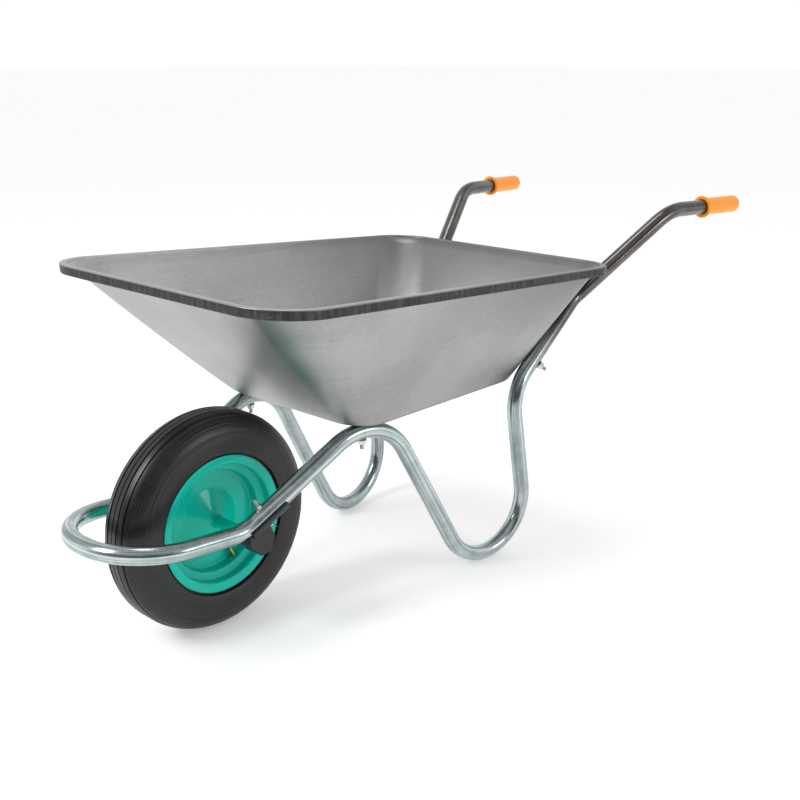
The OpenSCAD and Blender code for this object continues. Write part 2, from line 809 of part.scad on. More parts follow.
// ---------- the tray ----------
fold_turns = [0, 15, 30];
tray_rings = concat(
        [for (t = fold_turns) tray_ring(0, -floor_fold + fold_r * sin(t), fold_r * (1 - cos(t)))],
        [for (h = [0.0375, 0.3, 0.65, 1]) tray_ring(h, 0, h < 1 ? 0 : -3)],
        [tray_ring(1, 1.5, -tray_t)],
        [for (up = [-tray_t, -lip_h]) tray_ring(1, lip_w - tray_t, up)],
        [for (up = [-lip_h, -2.5]) tray_ring(1, lip_w, up)],
        [tray_ring(1, lip_w - 0.8, -0.8), tray_ring(1, lip_w - 2.5, 0)],
        [tray_ring(1, 1, 0), tray_ring(1, -tray_t + 0.5, -0.8), tray_ring(1, -tray_t, -3)],
        [for (h = [0.65, 0.3, 0.0375]) tray_ring(h, -tray_t, h * tray_t / 2)],
        [for (t = [30, 15, 0])
            tray_ring(0, -floor_fold + (fold_r - tray_t) * sin(t), tray_t + fold_r * (1 - cos(t)))]
    );
ring_size = len(tray_rings[0]);
ring_count = len(tray_rings);

module tray_shell()
{
    polyhedron(
        points = [for (r = tray_rings) each r],
        faces = concat(
            [[for (j = [0 : ring_size - 1]) j]],
            [[for (j = [ring_size - 1 : -1 : 0]) (ring_count - 1) * ring_size + j]],
            [for (i = [0 : ring_count - 2]) for (j = [0 : ring_size - 1])
                [i * ring_size + j, (i + 1) * ring_size + j, (i + 1) * ring_size + (j + 1) % ring_size]],
            [for (i = [0 : ring_count - 2]) for (j = [0 : ring_size - 1])
                [i * ring_size + j, (i + 1) * ring_size + (j + 1) % ring_size,
                    i * ring_size + (j + 1) % ring_size]]
        )
    );
}

module tray()
{
    color([0.75, 0.76, 0.77])
        placed()
            difference() {
                tray_shell();
                for (side = [-1, 1])
                    on_side(side) {
                        drilling(arch_top, [0, 0, 1], tray_bolt_d);
                        drilling(slope_mid, spot_out, tray_bolt_d);
                    }
            }
}

tray();
frame_tube();
grip_left();
grip_right();
axle_block_left();
axle_block_right();
bolt_front_left();
bolt_front_right();
bolt_rear_left();
bolt_rear_right();
washer_front_left();
washer_front_right();
washer_rear_left();
washer_rear_right();
nut_front_left();
nut_front_right();
nut_rear_left();
nut_rear_right();
block_bolt_left();
block_bolt_right();
block_washer_left();
block_washer_right();
block_nut_left();
block_nut_right();
tyre();
inner_tube();
rim_left();
rim_right();
axle();
valve_stem();
valve_cap();
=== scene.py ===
# %% [markdown]
# # A builder's wheelbarrow in Blender
#
# The barrow has six kinds of parts: a pressed steel tray, one long bent steel tube that is hoop,
# legs and handles in one, a pneumatic wheel on a painted rim, two plastic blocks that carry the
# axle, two grips, and the bolts that hold it all together. The sizes and the places of all of them
# are fixed by a CAD model, which is loaded first as a frame. This lesson puts a finely modelled
# piece in the place of most of its solids, and gives the others their finishes.

# %% Load the frame and keep its size
import math

import bmesh
import bpy
from mathutils import Matrix, Vector, noise


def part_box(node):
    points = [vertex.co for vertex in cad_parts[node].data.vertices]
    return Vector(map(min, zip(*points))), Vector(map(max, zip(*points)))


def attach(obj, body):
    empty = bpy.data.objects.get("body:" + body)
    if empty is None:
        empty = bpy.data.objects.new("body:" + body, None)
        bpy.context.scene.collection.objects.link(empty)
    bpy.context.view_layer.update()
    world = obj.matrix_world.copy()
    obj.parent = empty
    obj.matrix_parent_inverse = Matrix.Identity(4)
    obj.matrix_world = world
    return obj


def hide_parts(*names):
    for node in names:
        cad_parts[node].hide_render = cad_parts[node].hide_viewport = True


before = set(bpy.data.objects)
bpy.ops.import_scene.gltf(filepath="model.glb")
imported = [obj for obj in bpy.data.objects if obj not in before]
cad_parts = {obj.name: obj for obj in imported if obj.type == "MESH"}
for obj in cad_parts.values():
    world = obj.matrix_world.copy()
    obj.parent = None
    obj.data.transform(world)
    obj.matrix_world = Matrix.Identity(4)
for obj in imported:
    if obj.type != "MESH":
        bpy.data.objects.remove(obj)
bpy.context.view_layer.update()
MM = 0.001
TURN = 2 * math.pi
axle_low, axle_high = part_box("axle")
axle_x = (axle_low[0] + axle_high[0]) / 2
axle_z = (axle_low[2] + axle_high[2]) / 2
print("axle at", round(axle_x, 5), round(axle_z, 5))

# %% [markdown]
# ## Writing node trees as expressions
#
# Materials and Geometry Nodes are both trees of nodes with sockets. Wiring them one link at a time
# is slow to read, so one small class wraps a socket and lets Python's own signs make the Math
# nodes, and one method makes every other kind of node from its type, its settings and its sockets.

# %% A socket that can be added and scaled
class Value:
    """An output socket of a node tree, used like a number."""

    def __init__(self, tree, socket):
        self.tree = tree
        self.socket = socket

    def math(self, operation, other=0.0, flip=False):
        pair = (other, self) if flip else (self, other)
        return self.tree.add("ShaderNodeMath", {"operation": operation}, {0: pair[0], 1: pair[1]})

    def __add__(self, other): return self.math("ADD", other)
    def __radd__(self, other): return self.math("ADD", other, True)
    def __sub__(self, other): return self.math("SUBTRACT", other)
    def __rsub__(self, other): return self.math("SUBTRACT", other, True)
    def __mul__(self, other): return self.math("MULTIPLY", other)
    def __truediv__(self, other): return self.math("DIVIDE", other)
    def __pow__(self, other): return self.math("POWER", other)


# %% A tree that makes any node
class Tree:
    """Adds nodes to a shader or geometry tree."""

    def __init__(self, tree):
        self.tree = tree

    def put(self, socket, value):
        if isinstance(value, Value):
            self.tree.links.new(value.socket, socket)
        elif value is not None:
            socket.default_value = value

    def node(self, kind, settings=None, sockets=None):
        made = self.tree.nodes.new(kind)
        for key, setting in (settings or {}).items():
            setattr(made, key, setting)
        for key, value in (sockets or {}).items():
            self.put(made.inputs[key], value)
        return made

    def add(self, kind, settings=None, sockets=None, out=0):
        return Value(self, self.node(kind, settings, sockets).outputs[out])

    # Short names for the nodes that every tree here uses
    def object_place(self):
        return self.add("ShaderNodeTexCoord", out="Object")

    def noise(self, where, scale, detail=3.0, rough=0.5):
        return self.add("ShaderNodeTexNoise", {},
                        {"Vector": where, "Scale": scale, "Detail": detail, "Roughness": rough})

    def stretched(self, where, x, y, z):
        return self.add("ShaderNodeVectorMath", {"operation": "MULTIPLY"}, {0: where, 1: (x, y, z)})

    def ramp(self, value, low, high, start=0.0, end=1.0):
        ends = {"Value": value, "From Min": low, "From Max": high, "To Min": start, "To Max": end}
        return self.add("ShaderNodeMapRange", {"interpolation_type": "SMOOTHSTEP"}, ends)

    def mix(self, factor, first, second):
        return self.add("ShaderNodeMix", {"data_type": "RGBA"}, {0: factor, 6: first, 7: second}, 2)

    def split(self, vector):
        made = self.node("ShaderNodeSeparateXYZ", {}, {0: vector})
        return [Value(self, out) for out in made.outputs]

    def join(self, x, y, z):
        return self.add("ShaderNodeCombineXYZ", {}, {0: x, 1: y, 2: z})

    def across(self, operation, first, second=None, out=0):
        return self.add("ShaderNodeVectorMath", {"operation": operation}, {0: first, 1: second}, out)


def colour(red, green, blue):
    """A screen colour from 0 to 255 as the linear light that a shader wants."""
    made = [((v / 255 + 0.055) / 1.055) ** 2.4 if v > 10 else v / 255 / 12.92 for v in (red, green, blue)]
    return (*made, 1)


def finish_named(name, **fixed):
    """A material with one glossy shader, its constant values set on the shader's own sockets."""
    material = bpy.data.materials.new(name)
    material.use_nodes = True
    material.node_tree.nodes.clear()
    tree = Tree(material.node_tree)
    shader = tree.node("ShaderNodeBsdfPrincipled", {}, {k.replace("_", " "): v for k, v in fixed.items()})
    out = tree.node("ShaderNodeOutputMaterial")
    material.node_tree.links.new(shader.outputs[0], out.inputs[0])
    return material, tree, shader


def set_surface(tree, shader, base, roughness, height, strength, distance):
    """Colour, roughness and bump of a finish; the bump's distance is in metres."""
    tree.put(shader.inputs["Base Color"], base)
    tree.put(shader.inputs["Roughness"], roughness)
    bump = tree.add("ShaderNodeBump", {}, {"Strength": strength, "Distance": distance, "Height": height})
    tree.put(shader.inputs["Normal"], bump)


print("node helpers ready")

# %% [markdown]
# ## Finishes: zinc on sheet and tube
#
# The tray is satin zinc-coated sheet: an even grey with very fine lines left by the rolling mill and
# soft cloudy patches. Its rear top is painted darker as painted shade, and the hem's outer face is painted
# dark as painted shade, with marks and bright knocks on it. Colour and roughness both come from noise,
# stretched hard in one direction for the rolling lines. The mesh carries an attribute called hem, so the
# lip can be painted darker, as shade, without a second material.

# %% Zinc sheet for the tray
def zinc_sheet():
    material, tree, shader = finish_named("zinc_sheet", Metallic=1.0)
    where = tree.object_place()
    hem = tree.add("ShaderNodeAttribute", {"attribute_name": "hem"}, out="Fac")
    clouds = tree.noise(where, 5.0, 4.0, 0.6)
    rolling = tree.noise(tree.stretched(where, 5, 5, 380), 1.0, 3.0, 0.6)
    flakes = tree.noise(where, 160.0, 2.0)
    marks = tree.noise(tree.stretched(where, 120, 120, 30), 1.0, 5.0, 0.7)
    knocks = tree.ramp(tree.noise(where, 42.0, 6.0, 0.72), 0.66, 0.72)
    tone = clouds * 0.62 + rolling * 0.2 + flakes * 0.18
    x, y, z = tree.split(where)
    # Painted shade: the sheet is painted darker towards its rear top, standing in for the dark reflections
    # there.
    rear_top_painted_shade = tree.ramp(z + x * 0.12, 0.42, 0.60) * tree.ramp(x, -0.30, 0.22)
    unshaded_zinc = tree.mix(tree.ramp(tone, 0.35, 0.65), colour(152, 153, 152), colour(172, 173, 171))
    sheet = tree.mix(rear_top_painted_shade * 0.75, unshaded_zinc, colour(104, 105, 105))
    # Painted shade: the hem's outer face is painted dark grey, with its fine marks in it; the bright knocks
    # are wear.
    hem_marks_and_painted_shade = tree.mix(tree.ramp(marks, 0.3, 0.8), colour(50, 50, 50), colour(82, 82, 81))
    lip = tree.mix(knocks * 0.7, hem_marks_and_painted_shade, colour(200, 200, 198))
    rough = 0.37 + clouds * 0.1 + rolling * 0.03 - knocks * hem * 0.12
    height = rolling * 0.16 + flakes * 0.12 + marks * hem * 0.8 + knocks * hem * 1.2
    set_surface(tree, shader, tree.mix(hem, sheet, lip), rough, height, 0.22, 0.0005)
    return material


# %% [markdown]
# The tube is drawn and then galvanised, so its streaks run along its length and follow every bend.
# Object coordinates can't bend with it. The sweep below therefore writes an attribute on the mesh,
# tube_place, with the direction round the tube in X and Y and the distance along it in Z.

# %% Zinc tube for the frame
def zinc_tube():
    material, tree, shader = finish_named("zinc_tube", Metallic=1.0)
    place = tree.add("ShaderNodeAttribute", {"attribute_name": "tube_place"}, out="Vector")
    where = tree.object_place()
    streaks = tree.noise(tree.stretched(place, 3.2, 3.2, 3.0), 1.0, 3.0, 0.55)
    fine = tree.noise(tree.stretched(place, 14, 14, 9), 1.0, 3.0, 0.6)
    rings = tree.noise(tree.stretched(place, 1.5, 1.5, 320), 1.0, 2.0, 0.6)
    clouds = tree.noise(where, 22.0, 4.0, 0.65)
    tone = streaks * 0.5 + fine * 0.25 + clouds * 0.25
    pale = tree.mix(tree.ramp(tone, 0.38, 0.62), colour(128, 141, 143), colour(196, 208, 207))
    # Painted reflection: the rear part of the tube, handles included, is painted a darker grey, standing in
    # for the dark reflections there.
    handle_painted_reflection = tree.mix(tree.ramp(tone, 0.38, 0.62), colour(74, 72, 71), colour(122, 119, 116))
    x = tree.split(where)[0]
    handle_reflection_mask = tree.ramp(x, 0.10, 0.24)
    scuffs = tree.ramp(tree.noise(tree.stretched(place, 5, 5, 34), 1.0, 5.0, 0.72), 0.60, 0.68)
    base = tree.mix(scuffs * 0.35, tree.mix(handle_reflection_mask, pale, handle_painted_reflection), colour(98, 98, 96))
    rough = 0.12 + streaks * 0.09 + clouds * 0.09 + scuffs * 0.1
    height = fine * 0.5 + rings * 0.25 + clouds * 0.6
    set_surface(tree, shader, base, rough, height, 0.22, 0.0007)
    return material


# %% [markdown]
# ## Finishes: bolts, paint, plastic and rubber
#
# The small parts are bright zinc. The rim is teal gloss paint over pressed steel, with a hint of
# orange peel and specks of dust. The rubber is a soft black that mould release and dust turn
# slightly grey, and the plastics show the fine texture of the tool that formed them.

# %% Bright zinc for fasteners
def zinc_bolt():
    material, tree, shader = finish_named("zinc_bolt", Metallic=1.0)
    where = tree.object_place()
    clouds = tree.noise(where, 260.0, 3.0)
    grime = tree.ramp(tree.noise(where, 700.0, 4.0, 0.7), 0.55, 0.7)
    bright = tree.mix(clouds, colour(170, 170, 166), colour(228, 229, 226))
    base = tree.mix(grime * 0.6, bright, colour(96, 92, 84))
    set_surface(tree, shader, base, 0.22 + clouds * 0.15 + grime * 0.2, clouds + grime, 0.2, 0.0002)
    return material


# %% Teal gloss paint for the rim and the axle
def rim_paint():
    material, tree, shader = finish_named("rim_paint", Coat_Roughness=0.1, Specular_IOR_Level=0.1)
    where = tree.object_place()
    peel = tree.noise(where, 420.0, 2.0)
    clouds = tree.noise(where, 18.0, 4.0, 0.6)
    dust = tree.ramp(tree.noise(where, 900.0, 3.0, 0.7), 0.66, 0.74)
    teal = tree.mix(clouds, colour(0, 178, 158), colour(2, 196, 174))
    base = tree.mix(dust * 0.25, teal, colour(150, 205, 196))
    tree.put(shader.inputs["Coat Weight"], 0.3 - dust * 0.25)
    set_surface(tree, shader, base, 0.26 + clouds * 0.12 + dust * 0.2, peel + clouds * 2.0, 0.12, 0.0005)
    return material


# %% Black rubber for the tyre
def tyre_rubber():
    material, tree, shader = finish_named("tyre_rubber", Specular_IOR_Level=0.45)
    where = tree.object_place()
    x, y, z = tree.split(where)
    along = x - axle_x
    up = z - axle_z
    radius = (along * along + up * up) ** 0.5
    rings = tree.noise(tree.join(radius * 900.0, y * 900.0, 0.0), 1.0, 2.0, 0.6)
    grain = tree.noise(where, 1300.0, 3.0, 0.6)
    clouds = tree.noise(where, 16.0, 5.0, 0.65)
    dusty = tree.ramp(clouds, 0.45, 0.75)
    black = tree.mix(rings, colour(8, 7, 9), colour(18, 17, 20))
    base = tree.mix(dusty * 0.3, black, colour(44, 42, 46))
    rough = 0.26 + clouds * 0.2 + dusty * 0.1
    set_surface(tree, shader, base, rough, rings * 0.8 + grain * 0.5, 0.35, 0.0004)
    return material


# %% Plastics, soft rubber and brass
def moulded(name, dark, light, grain_scale, gloss, wear):
    """A moulded plastic or small part: two tones, a fine tool texture and rubbed patches."""
    material, tree, shader = finish_named(name, Specular_IOR_Level=0.5)
    where = tree.object_place()
    clouds = tree.noise(where, 30.0, 4.0, 0.6)
    grain = tree.noise(where, grain_scale, 2.0)
    rubbed = tree.ramp(tree.noise(where, 70.0, 5.0, 0.7), 0.58, 0.72)
    body = tree.mix(clouds, dark, light)
    rough = gloss + clouds * 0.15 - rubbed * 0.08
    set_surface(tree, shader, tree.mix(rubbed * 0.35, body, wear), rough, grain + clouds, 0.2, 0.0003)
    return material


def brass():
    material, tree, shader = finish_named("brass", Metallic=1.0)
    where = tree.object_place()
    clouds = tree.noise(where, 300.0, 3.0)
    base = tree.mix(clouds, colour(150, 128, 84), colour(205, 184, 132))
    set_surface(tree, shader, base, 0.25 + clouds * 0.2, clouds, 0.15, 0.0002)
    return material


looks = {
    "sheet": zinc_sheet(),
    "tube": zinc_tube(),
    "bolt": zinc_bolt(),
    "paint": rim_paint(),
    "rubber": tyre_rubber(),
    "grip": moulded("grip_plastic", colour(240, 140, 18), colour(255, 164, 34), 900.0, 0.34,
                    colour(255, 190, 90)),
    "block": moulded("block_plastic", colour(12, 12, 14), colour(24, 23, 26), 800.0, 0.40,
                     colour(52, 51, 54)),
    "tube_rubber": moulded("tube_rubber", colour(30, 30, 31), colour(44, 43, 44), 600.0, 0.55,
                           colour(62, 60, 60)),
    "brass": brass(),
}
print("finishes:", ", ".join(m.name for m in looks.values()))

# %% [markdown]
# ## Two ways to make a mesh
#
# Most of the pieces here are either turned, as on a lathe, or lofted through a stack of rings. Both
# come down to a grid of points joined by four-sided faces. One helper makes the faces, merges the
# doubles, checks that the volume is positive, which means that the faces point outwards, and puts
# the mesh on an object at the origin.

# %% From points and faces to a finished object
def in_scene(name, data):
    made = bpy.data.objects.new(name, data)
    bpy.context.scene.collection.objects.link(made)
    return made


def object_from(name, points, faces, look, smooth_below=35.0):
    """A closed mesh object at the origin with outward faces; edges sharper than the angle stay crisp."""
    mesh = bpy.data.meshes.new(name)
    mesh.from_pydata(points, [], faces)
    return finished(name, mesh, look, smooth_below)


def finished(name, mesh, look, smooth_below=35.0):
    shape = bmesh.new()
    shape.from_mesh(mesh)
    bmesh.ops.remove_doubles(shape, verts=shape.verts, dist=1e-6)
    bmesh.ops.recalc_face_normals(shape, faces=shape.faces)
    if shape.calc_volume(signed=True) < 0:
        bmesh.ops.reverse_faces(shape, faces=shape.faces)
    for edge in shape.edges:
        edge.smooth = edge.calc_face_angle(0.0) < math.radians(smooth_below)
    for face in shape.faces:
        face.smooth = True
    open_edges = sum(1 for edge in shape.edges if len(edge.link_faces) != 2)
    volume = shape.calc_volume(signed=True)
    shape.to_mesh(mesh)
    shape.free()
    mesh.materials.clear()
    mesh.materials.append(looks[look])
    print(f"{name}: {len(mesh.polygons)} faces, {open_edges} open edges, {volume * 1e6:.1f} cm3")
    return in_scene(name, mesh)


# %% Faces between rings, and turning a closed outline round an axis
def ring_faces(rings, size, closed):
    """Quads between neighbouring rings of points; closed joins the last ring to the first."""
    made = []
    for i in range(rings if closed else rings - 1):
        here, there = i * size, (i + 1) % rings * size
        made += [(here + j, here + (j + 1) % size, there + (j + 1) % size, there + j) for j in range(size)]
    return made


def turned_grid(outline, steps, placing):
    """Points and faces of an outline of (radius, along), turned round the axis that placing stands up."""
    points = []
    for i in range(steps):
        a = TURN * i / steps
        for radius, along in outline:
            points.append(placing @ Vector((radius * math.cos(a), radius * math.sin(a), along)))
    return points, ring_faces(steps, len(outline), True)


def arc(middle, radius, start, end, steps):
    """Points (across, along) of an arc between two angles in degrees."""
    made = []
    for i in range(steps + 1):
        a = math.radians(start + (end - start) * i / steps)
        made.append((middle[0] + radius * math.cos(a), middle[1] + radius * math.sin(a)))
    return made


def frame_on(origin, facing):
    """The matrix that stands local +Z along a direction at a point."""
    up = facing.normalized()
    side = Vector((0, 0, 1)).cross(up) if abs(up.z) < 0.9 else Vector((1, 0, 0)).cross(up)
    side.normalize()
    other = up.cross(side)
    made = Matrix((side, other, up)).transposed().to_4x4()
    made.translation = origin
    return made


wheel_frame = frame_on(Vector((axle_x, 0, axle_z)), Vector((0, 1, 0)))
print("helpers for meshes ready")

# %% [markdown]
# ## The tray
#
# A barrow tray is pressed from one sheet: a flat floor, four leaning walls that meet in large
# rounded corners, and a lip that is turned out and down. Subdivision would round the walls too
# much, and a boolean would leave no even mesh for the reflections to run over. A loft keeps full
# control: every ring is the same rounded outline, blended from the floor's shape to the rim's, and
# the stack of rings goes up the outside, round the lip and down the inside.

# %% Sizes of the tray
tray_low, tray_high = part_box("tray")
sheet_t = 1.2 * MM
floor_z = tray_low[2]
lip_w, lip_h = 12 * MM, 16 * MM
rim_x0, rim_x1 = tray_low[0], tray_high[0]
rim_z_front, rim_z_rear = tray_high[2], 551 * MM
tray_slope = (rim_z_front - rim_z_rear) / (rim_x1 - rim_x0)
# Front and rear edges, half widths at both, and corner radii at both
floor_shape = (axle_x + 182 * MM, axle_x + 638 * MM, 186 * MM, 176 * MM, 62 * MM, 80 * MM)
rim_shape = (rim_x0 + lip_w, rim_x1 - lip_w, 300 * MM, 274 * MM, 83 * MM, 68 * MM)
floor_fold = 14 * MM
fold_r = floor_fold / math.tan(math.radians(22.5))
print("tray", round(rim_x1 - rim_x0, 4), "long, floor at", round(floor_z, 4))


# %% One ring of the tray
def outline_ring(x0, x1, y0, y1, r0, r1, corner_steps=18, side_steps=(14, 34, 14, 34)):
    """A rounded outline from front and rear edges, half widths and corner radii, walked anticlockwise."""
    spots = [Vector((x1, -y1)), Vector((x1, y1)), Vector((x0, y0)), Vector((x0, -y0))]
    radii = [r1, r1, r0, r0]
    arcs = []
    for i in range(4):
        before, here, after = spots[i - 1], spots[i], spots[(i + 1) % 4]
        u, w = (here - before).normalized(), (after - here).normalized()
        turn = u.angle(w)
        inward = Vector((-u.y, u.x))
        middle = here - u * radii[i] * math.tan(turn / 2) + inward * radii[i]
        out = -inward
        arcs.append([middle + radii[i] * Vector((out.x * math.cos(t) - out.y * math.sin(t),
                                                 out.x * math.sin(t) + out.y * math.cos(t)))
                     for t in (turn * k / corner_steps for k in range(corner_steps + 1))])
    ring = []
    for i in range(4):
        ring += arcs[i]
        a, b = arcs[i][-1], arcs[(i + 1) % 4][0]
        steps = side_steps[i]
        ring += [a.lerp(b, k / steps) for k in range(1, steps)]
    return ring


def tray_ring(h, out, up):
    """h is 0 at the floor and 1 at the rim; out and up move the ring off the wall."""
    s = [a + (b - a) * h for a, b in zip(floor_shape, rim_shape)]
    ring = outline_ring(s[0] - out, s[1] + out, s[2] + out, s[3] + out, s[4] + out, s[5] + out)
    made = []
    for p in ring:
        rim_z = rim_z_front - tray_slope * (p.x - rim_x0)
        made.append(Vector((p.x, p.y, floor_z + h * (rim_z - floor_z) + up)))
    return made


# %% The tray's section, from the floor up, round the lip and back down
def tray_section():
    t, bend, edge = sheet_t, 2.0 * MM, 2.7 * MM
    heights = [0.0375 + 0.9425 * k / 15 for k in range(16)]
    outside = []
    for k in range(7):
        a = math.radians(5 * k)
        outside.append((0, -floor_fold + fold_r * math.sin(a), fold_r * (1 - math.cos(a)), 0))
    outside += [(h, 0, 0, 0) for h in heights]
    lip = arc((bend, -bend - t), bend, 180, 90, 4)
    lip += arc((lip_w - t - 1.5 * MM, -t - 1.5 * MM), 1.5 * MM, 90, 0, 3)
    lip += [(lip_w - t, -lip_h * 0.6)]
    lip += arc((lip_w - t / 2, -lip_h + t / 2), t / 2, 180, 360, 4)
    lip += [(lip_w, -lip_h * 0.8), (lip_w, -lip_h * 0.55), (lip_w, -lip_h * 0.35)]
    lip += arc((lip_w - edge, -edge), edge, 0, 90, 5)
    lip += [(lip_w * 0.5, 0)]
    lip += arc((bend, -bend - t), bend + t, 90, 180, 5)
    inside = [(h, -t, h * t / 2, 0) for h in reversed(heights)]
    for k in range(6, -1, -1):
        a = math.radians(5 * k)
        inside.append((0, -floor_fold + (fold_r - t) * math.sin(a), t + fold_r * (1 - math.cos(a)), 0))
    return outside + [(1, out, up, 1) for out, up in lip] + inside


section = tray_section()
rings = [tray_ring(h, out, up) for h, out, up, _ in section]
print("tray section of", len(section), "points,", len(rings[0]), "points round")


# %% [markdown]
# The hem is never quite straight. Pressing gathers metal at the front corners, so its free edge is
# slightly wavy there and carries small dents. The waves only ever go inwards, which keeps the
# piece inside the size of the CAD model.

# %% Waves and dents in the hem
def hem_wave(point, out, up):
    """How far a point of the hem is pushed in, in metres."""
    if out < lip_w * 0.8 or up > -1.5 * MM:
        return 0.0
    near_corner = 0.0
    for x, y in ((rim_shape[0], rim_shape[2]), (rim_shape[1], rim_shape[3])):
        d = (Vector((point.x, abs(point.y))) - Vector((x, y))).length
        near_corner = max(near_corner, 1 - min(1, d / (150 * MM)))
    share = min(1, -up / lip_h)
    soft = 0.5 + 0.5 * noise.noise(point * 26.0)
    tight = 0.5 + 0.5 * noise.noise(point * 95.0 + Vector((7, 3, 1)))
    return share * (0.5 * soft + near_corner * (1.3 * tight + 0.8 * soft)) * MM


def tray_points():
    made = []
    middle = Vector(((rim_x0 + rim_x1) / 2, 0, 0))
    for (h, out, up, lip), ring in zip(section, rings):
        for p in ring:
            inward = Vector((middle.x - p.x, -p.y, 0)).normalized()
            made.append(p + inward * hem_wave(p, out, up) if lip else p)
    return made


def tray_faces(ring_count, size):
    made = ring_faces(ring_count, size, False)
    made.append(tuple(reversed(range(size))))
    made.append(tuple((ring_count - 1) * size + j for j in range(size)))
    return made


tray = object_from("tray_pressing", tray_points(), tray_faces(len(rings), len(rings[0])), "sheet", 50.0)

# %% Marking the hem for the finish
def mark_hem(target):
    """1 on the outer face of the lip, falling to 0 over its top edge."""
    values = []
    for h, out, up, lip in section:
        strength = min(1, max(0, (-up - 0.6 * MM) / (2 * MM))) if lip and out > lip_w * 0.8 else 0.0
        values += [strength] * len(rings[0])
    hem = target.data.attributes.new("hem", "FLOAT", "POINT")
    hem.data.foreach_set("value", values)
    return sum(1 for v in values if v > 0.5)


print("hem points:", mark_hem(tray))
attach(tray, "chassis")
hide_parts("tray")

# %% [markdown]
# ## The bent tube
#
# One length of 30 mm tube makes the hoop in front of the wheel, the legs and the handles. Its path
# is a row of corners joined by bends of known radius, so it is worked out from them. The tube
# follows a path, and that is what Geometry Nodes do well: the path is a chain of points that carry
# the radius, the direction to the inside of the bend and how much the bend flattens the tube. The
# tree sweeps a circle along it, flattens the bends, raises small wrinkles on their insides and
# grinds the feet flat at floor level.

# %% The corners of the path on the right-hand side, in front of and above the axle
def from_axle(x, y, z):
    return Vector((axle_x + x * MM, y * MM, z * MM))


tube_r = 15 * MM
bend_r = 14.8 * MM
hoop_corner = from_axle(-240, 117.5, 219.5)
elbow = from_axle(-20, 117.5, 204)
arch = from_axle(258.853, 153.061, 363.453)
foot = from_axle(698.413, 209.118, -415.741)
knee = from_axle(577.77, 193.732, 327.125)
turn_out = from_axle(774.935, 186.995, 472.403)
handle = from_axle(983, 270.6, 634.4)
tube_end = from_axle(1200.97, 294.165, 630.08)
right_side = [(hoop_corner, 113), (elbow, 88), (arch, 107), (foot, 99), (knee, 89), (turn_out, 95),
              (handle, 97), (tube_end, 0)]


def mirrored(p):
    return Vector((p.x, -p.y, p.z))


corners = [(mirrored(p), r) for p, r in reversed(right_side)] + right_side
print("tube corners:", len(corners))


# %% Walking the path with a point every few millimetres
def walk(corners, straight_step=10 * MM, bend_step=math.radians(3)):
    """Points, radii, inside directions and flattening of a path with rounded corners."""
    spots = []
    last = corners[0][0]
    spots.append((last, tube_r, Vector((0, 0, 0)), 0.0, 0.0))
    for i in range(1, len(corners) - 1):
        a, v, b = corners[i - 1][0], corners[i][0], corners[i + 1][0]
        radius = corners[i][1] * MM
        u, w = (v - a).normalized(), (b - v).normalized()
        turn = u.angle(w)
        inward = (w - u * u.dot(w)).normalized()
        cut = radius * math.tan(turn / 2)
        start = v - u * cut
        steps = max(1, int((start - last).length / straight_step))
        for k in range(1, steps):
            spots.append((last.lerp(start, k / steps), tube_r, inward, 0.0, 0.0))
        steps = max(6, int(turn / bend_step))
        middle = start + inward * radius
        for k in range(steps + 1):
            t = turn * k / steps
            point = middle - inward * radius * math.cos(t) + u * radius * math.sin(t)
            inside = (inward * math.cos(t) - u * math.sin(t)).normalized()
            depth = math.sin(math.pi * k / steps) ** 0.6 if 0 < k < steps else 0.0
            spots.append((point, tube_r + (bend_r - tube_r) * depth, inside, depth, depth * min(1, turn)))
        last = v + w * cut
    end = corners[-1][0]
    steps = max(1, int((end - last).length / straight_step))
    for k in range(1, steps + 1):
        spots.append((last.lerp(end, k / steps), tube_r, Vector((0, 0, 0)), 0.0, 0.0))
    return spots


spots = walk(corners)
chain = bpy.data.meshes.new("tube_path")
chain.from_pydata([s[0] for s in spots], [(i, i + 1) for i in range(len(spots) - 1)], [])
for name, kind, column in (("girth", "FLOAT", 1), ("inside", "FLOAT_VECTOR", 2), ("flatten", "FLOAT", 3),
                           ("wrinkle", "FLOAT", 4)):
    attribute = chain.attributes.new(name, kind, "POINT")
    for i, spot in enumerate(spots):
        if kind == "FLOAT":
            attribute.data[i].value = spot[column]
        else:
            attribute.data[i].vector = spot[column]
tube_source = in_scene("tube_path", chain)
print("path of", len(spots), "points")


# %% [markdown]
# ### Helpers for Geometry Nodes
#
# A Geometry Nodes tree gets its sizes as named inputs, so it can be used again with other values.
# The values are set on the modifier by each socket's identifier. When the tree has run, its result
# is copied to a plain mesh and the modifier is dropped.

# %% Starting a tree, running it and keeping its result
def new_tree(name, inputs):
    """A geometry tree with named inputs; returns the tree, its input values and the input sockets."""
    group = bpy.data.node_groups.new(name, "GeometryNodeTree")
    group.interface.new_socket("Geometry", in_out="INPUT", socket_type="NodeSocketGeometry")
    sockets = {}
    for label, kind in inputs:
        sockets[label] = group.interface.new_socket(label, in_out="INPUT", socket_type="NodeSocket" + kind)
    group.interface.new_socket("Geometry", in_out="OUTPUT", socket_type="NodeSocketGeometry")
    tree = Tree(group)
    source = tree.node("NodeGroupInput")
    values = {out.name: Value(tree, out) for out in source.outputs if out.name}
    return tree, values, sockets


def close_tree(tree, shape, material):
    """Every tree ends in Realize Instances and Set Material."""
    real = tree.add("GeometryNodeRealizeInstances", {}, {0: shape})
    done = tree.add("GeometryNodeSetMaterial", {}, {"Geometry": real, "Material": material})
    out = tree.node("NodeGroupOutput")
    tree.put(out.inputs[0], done)


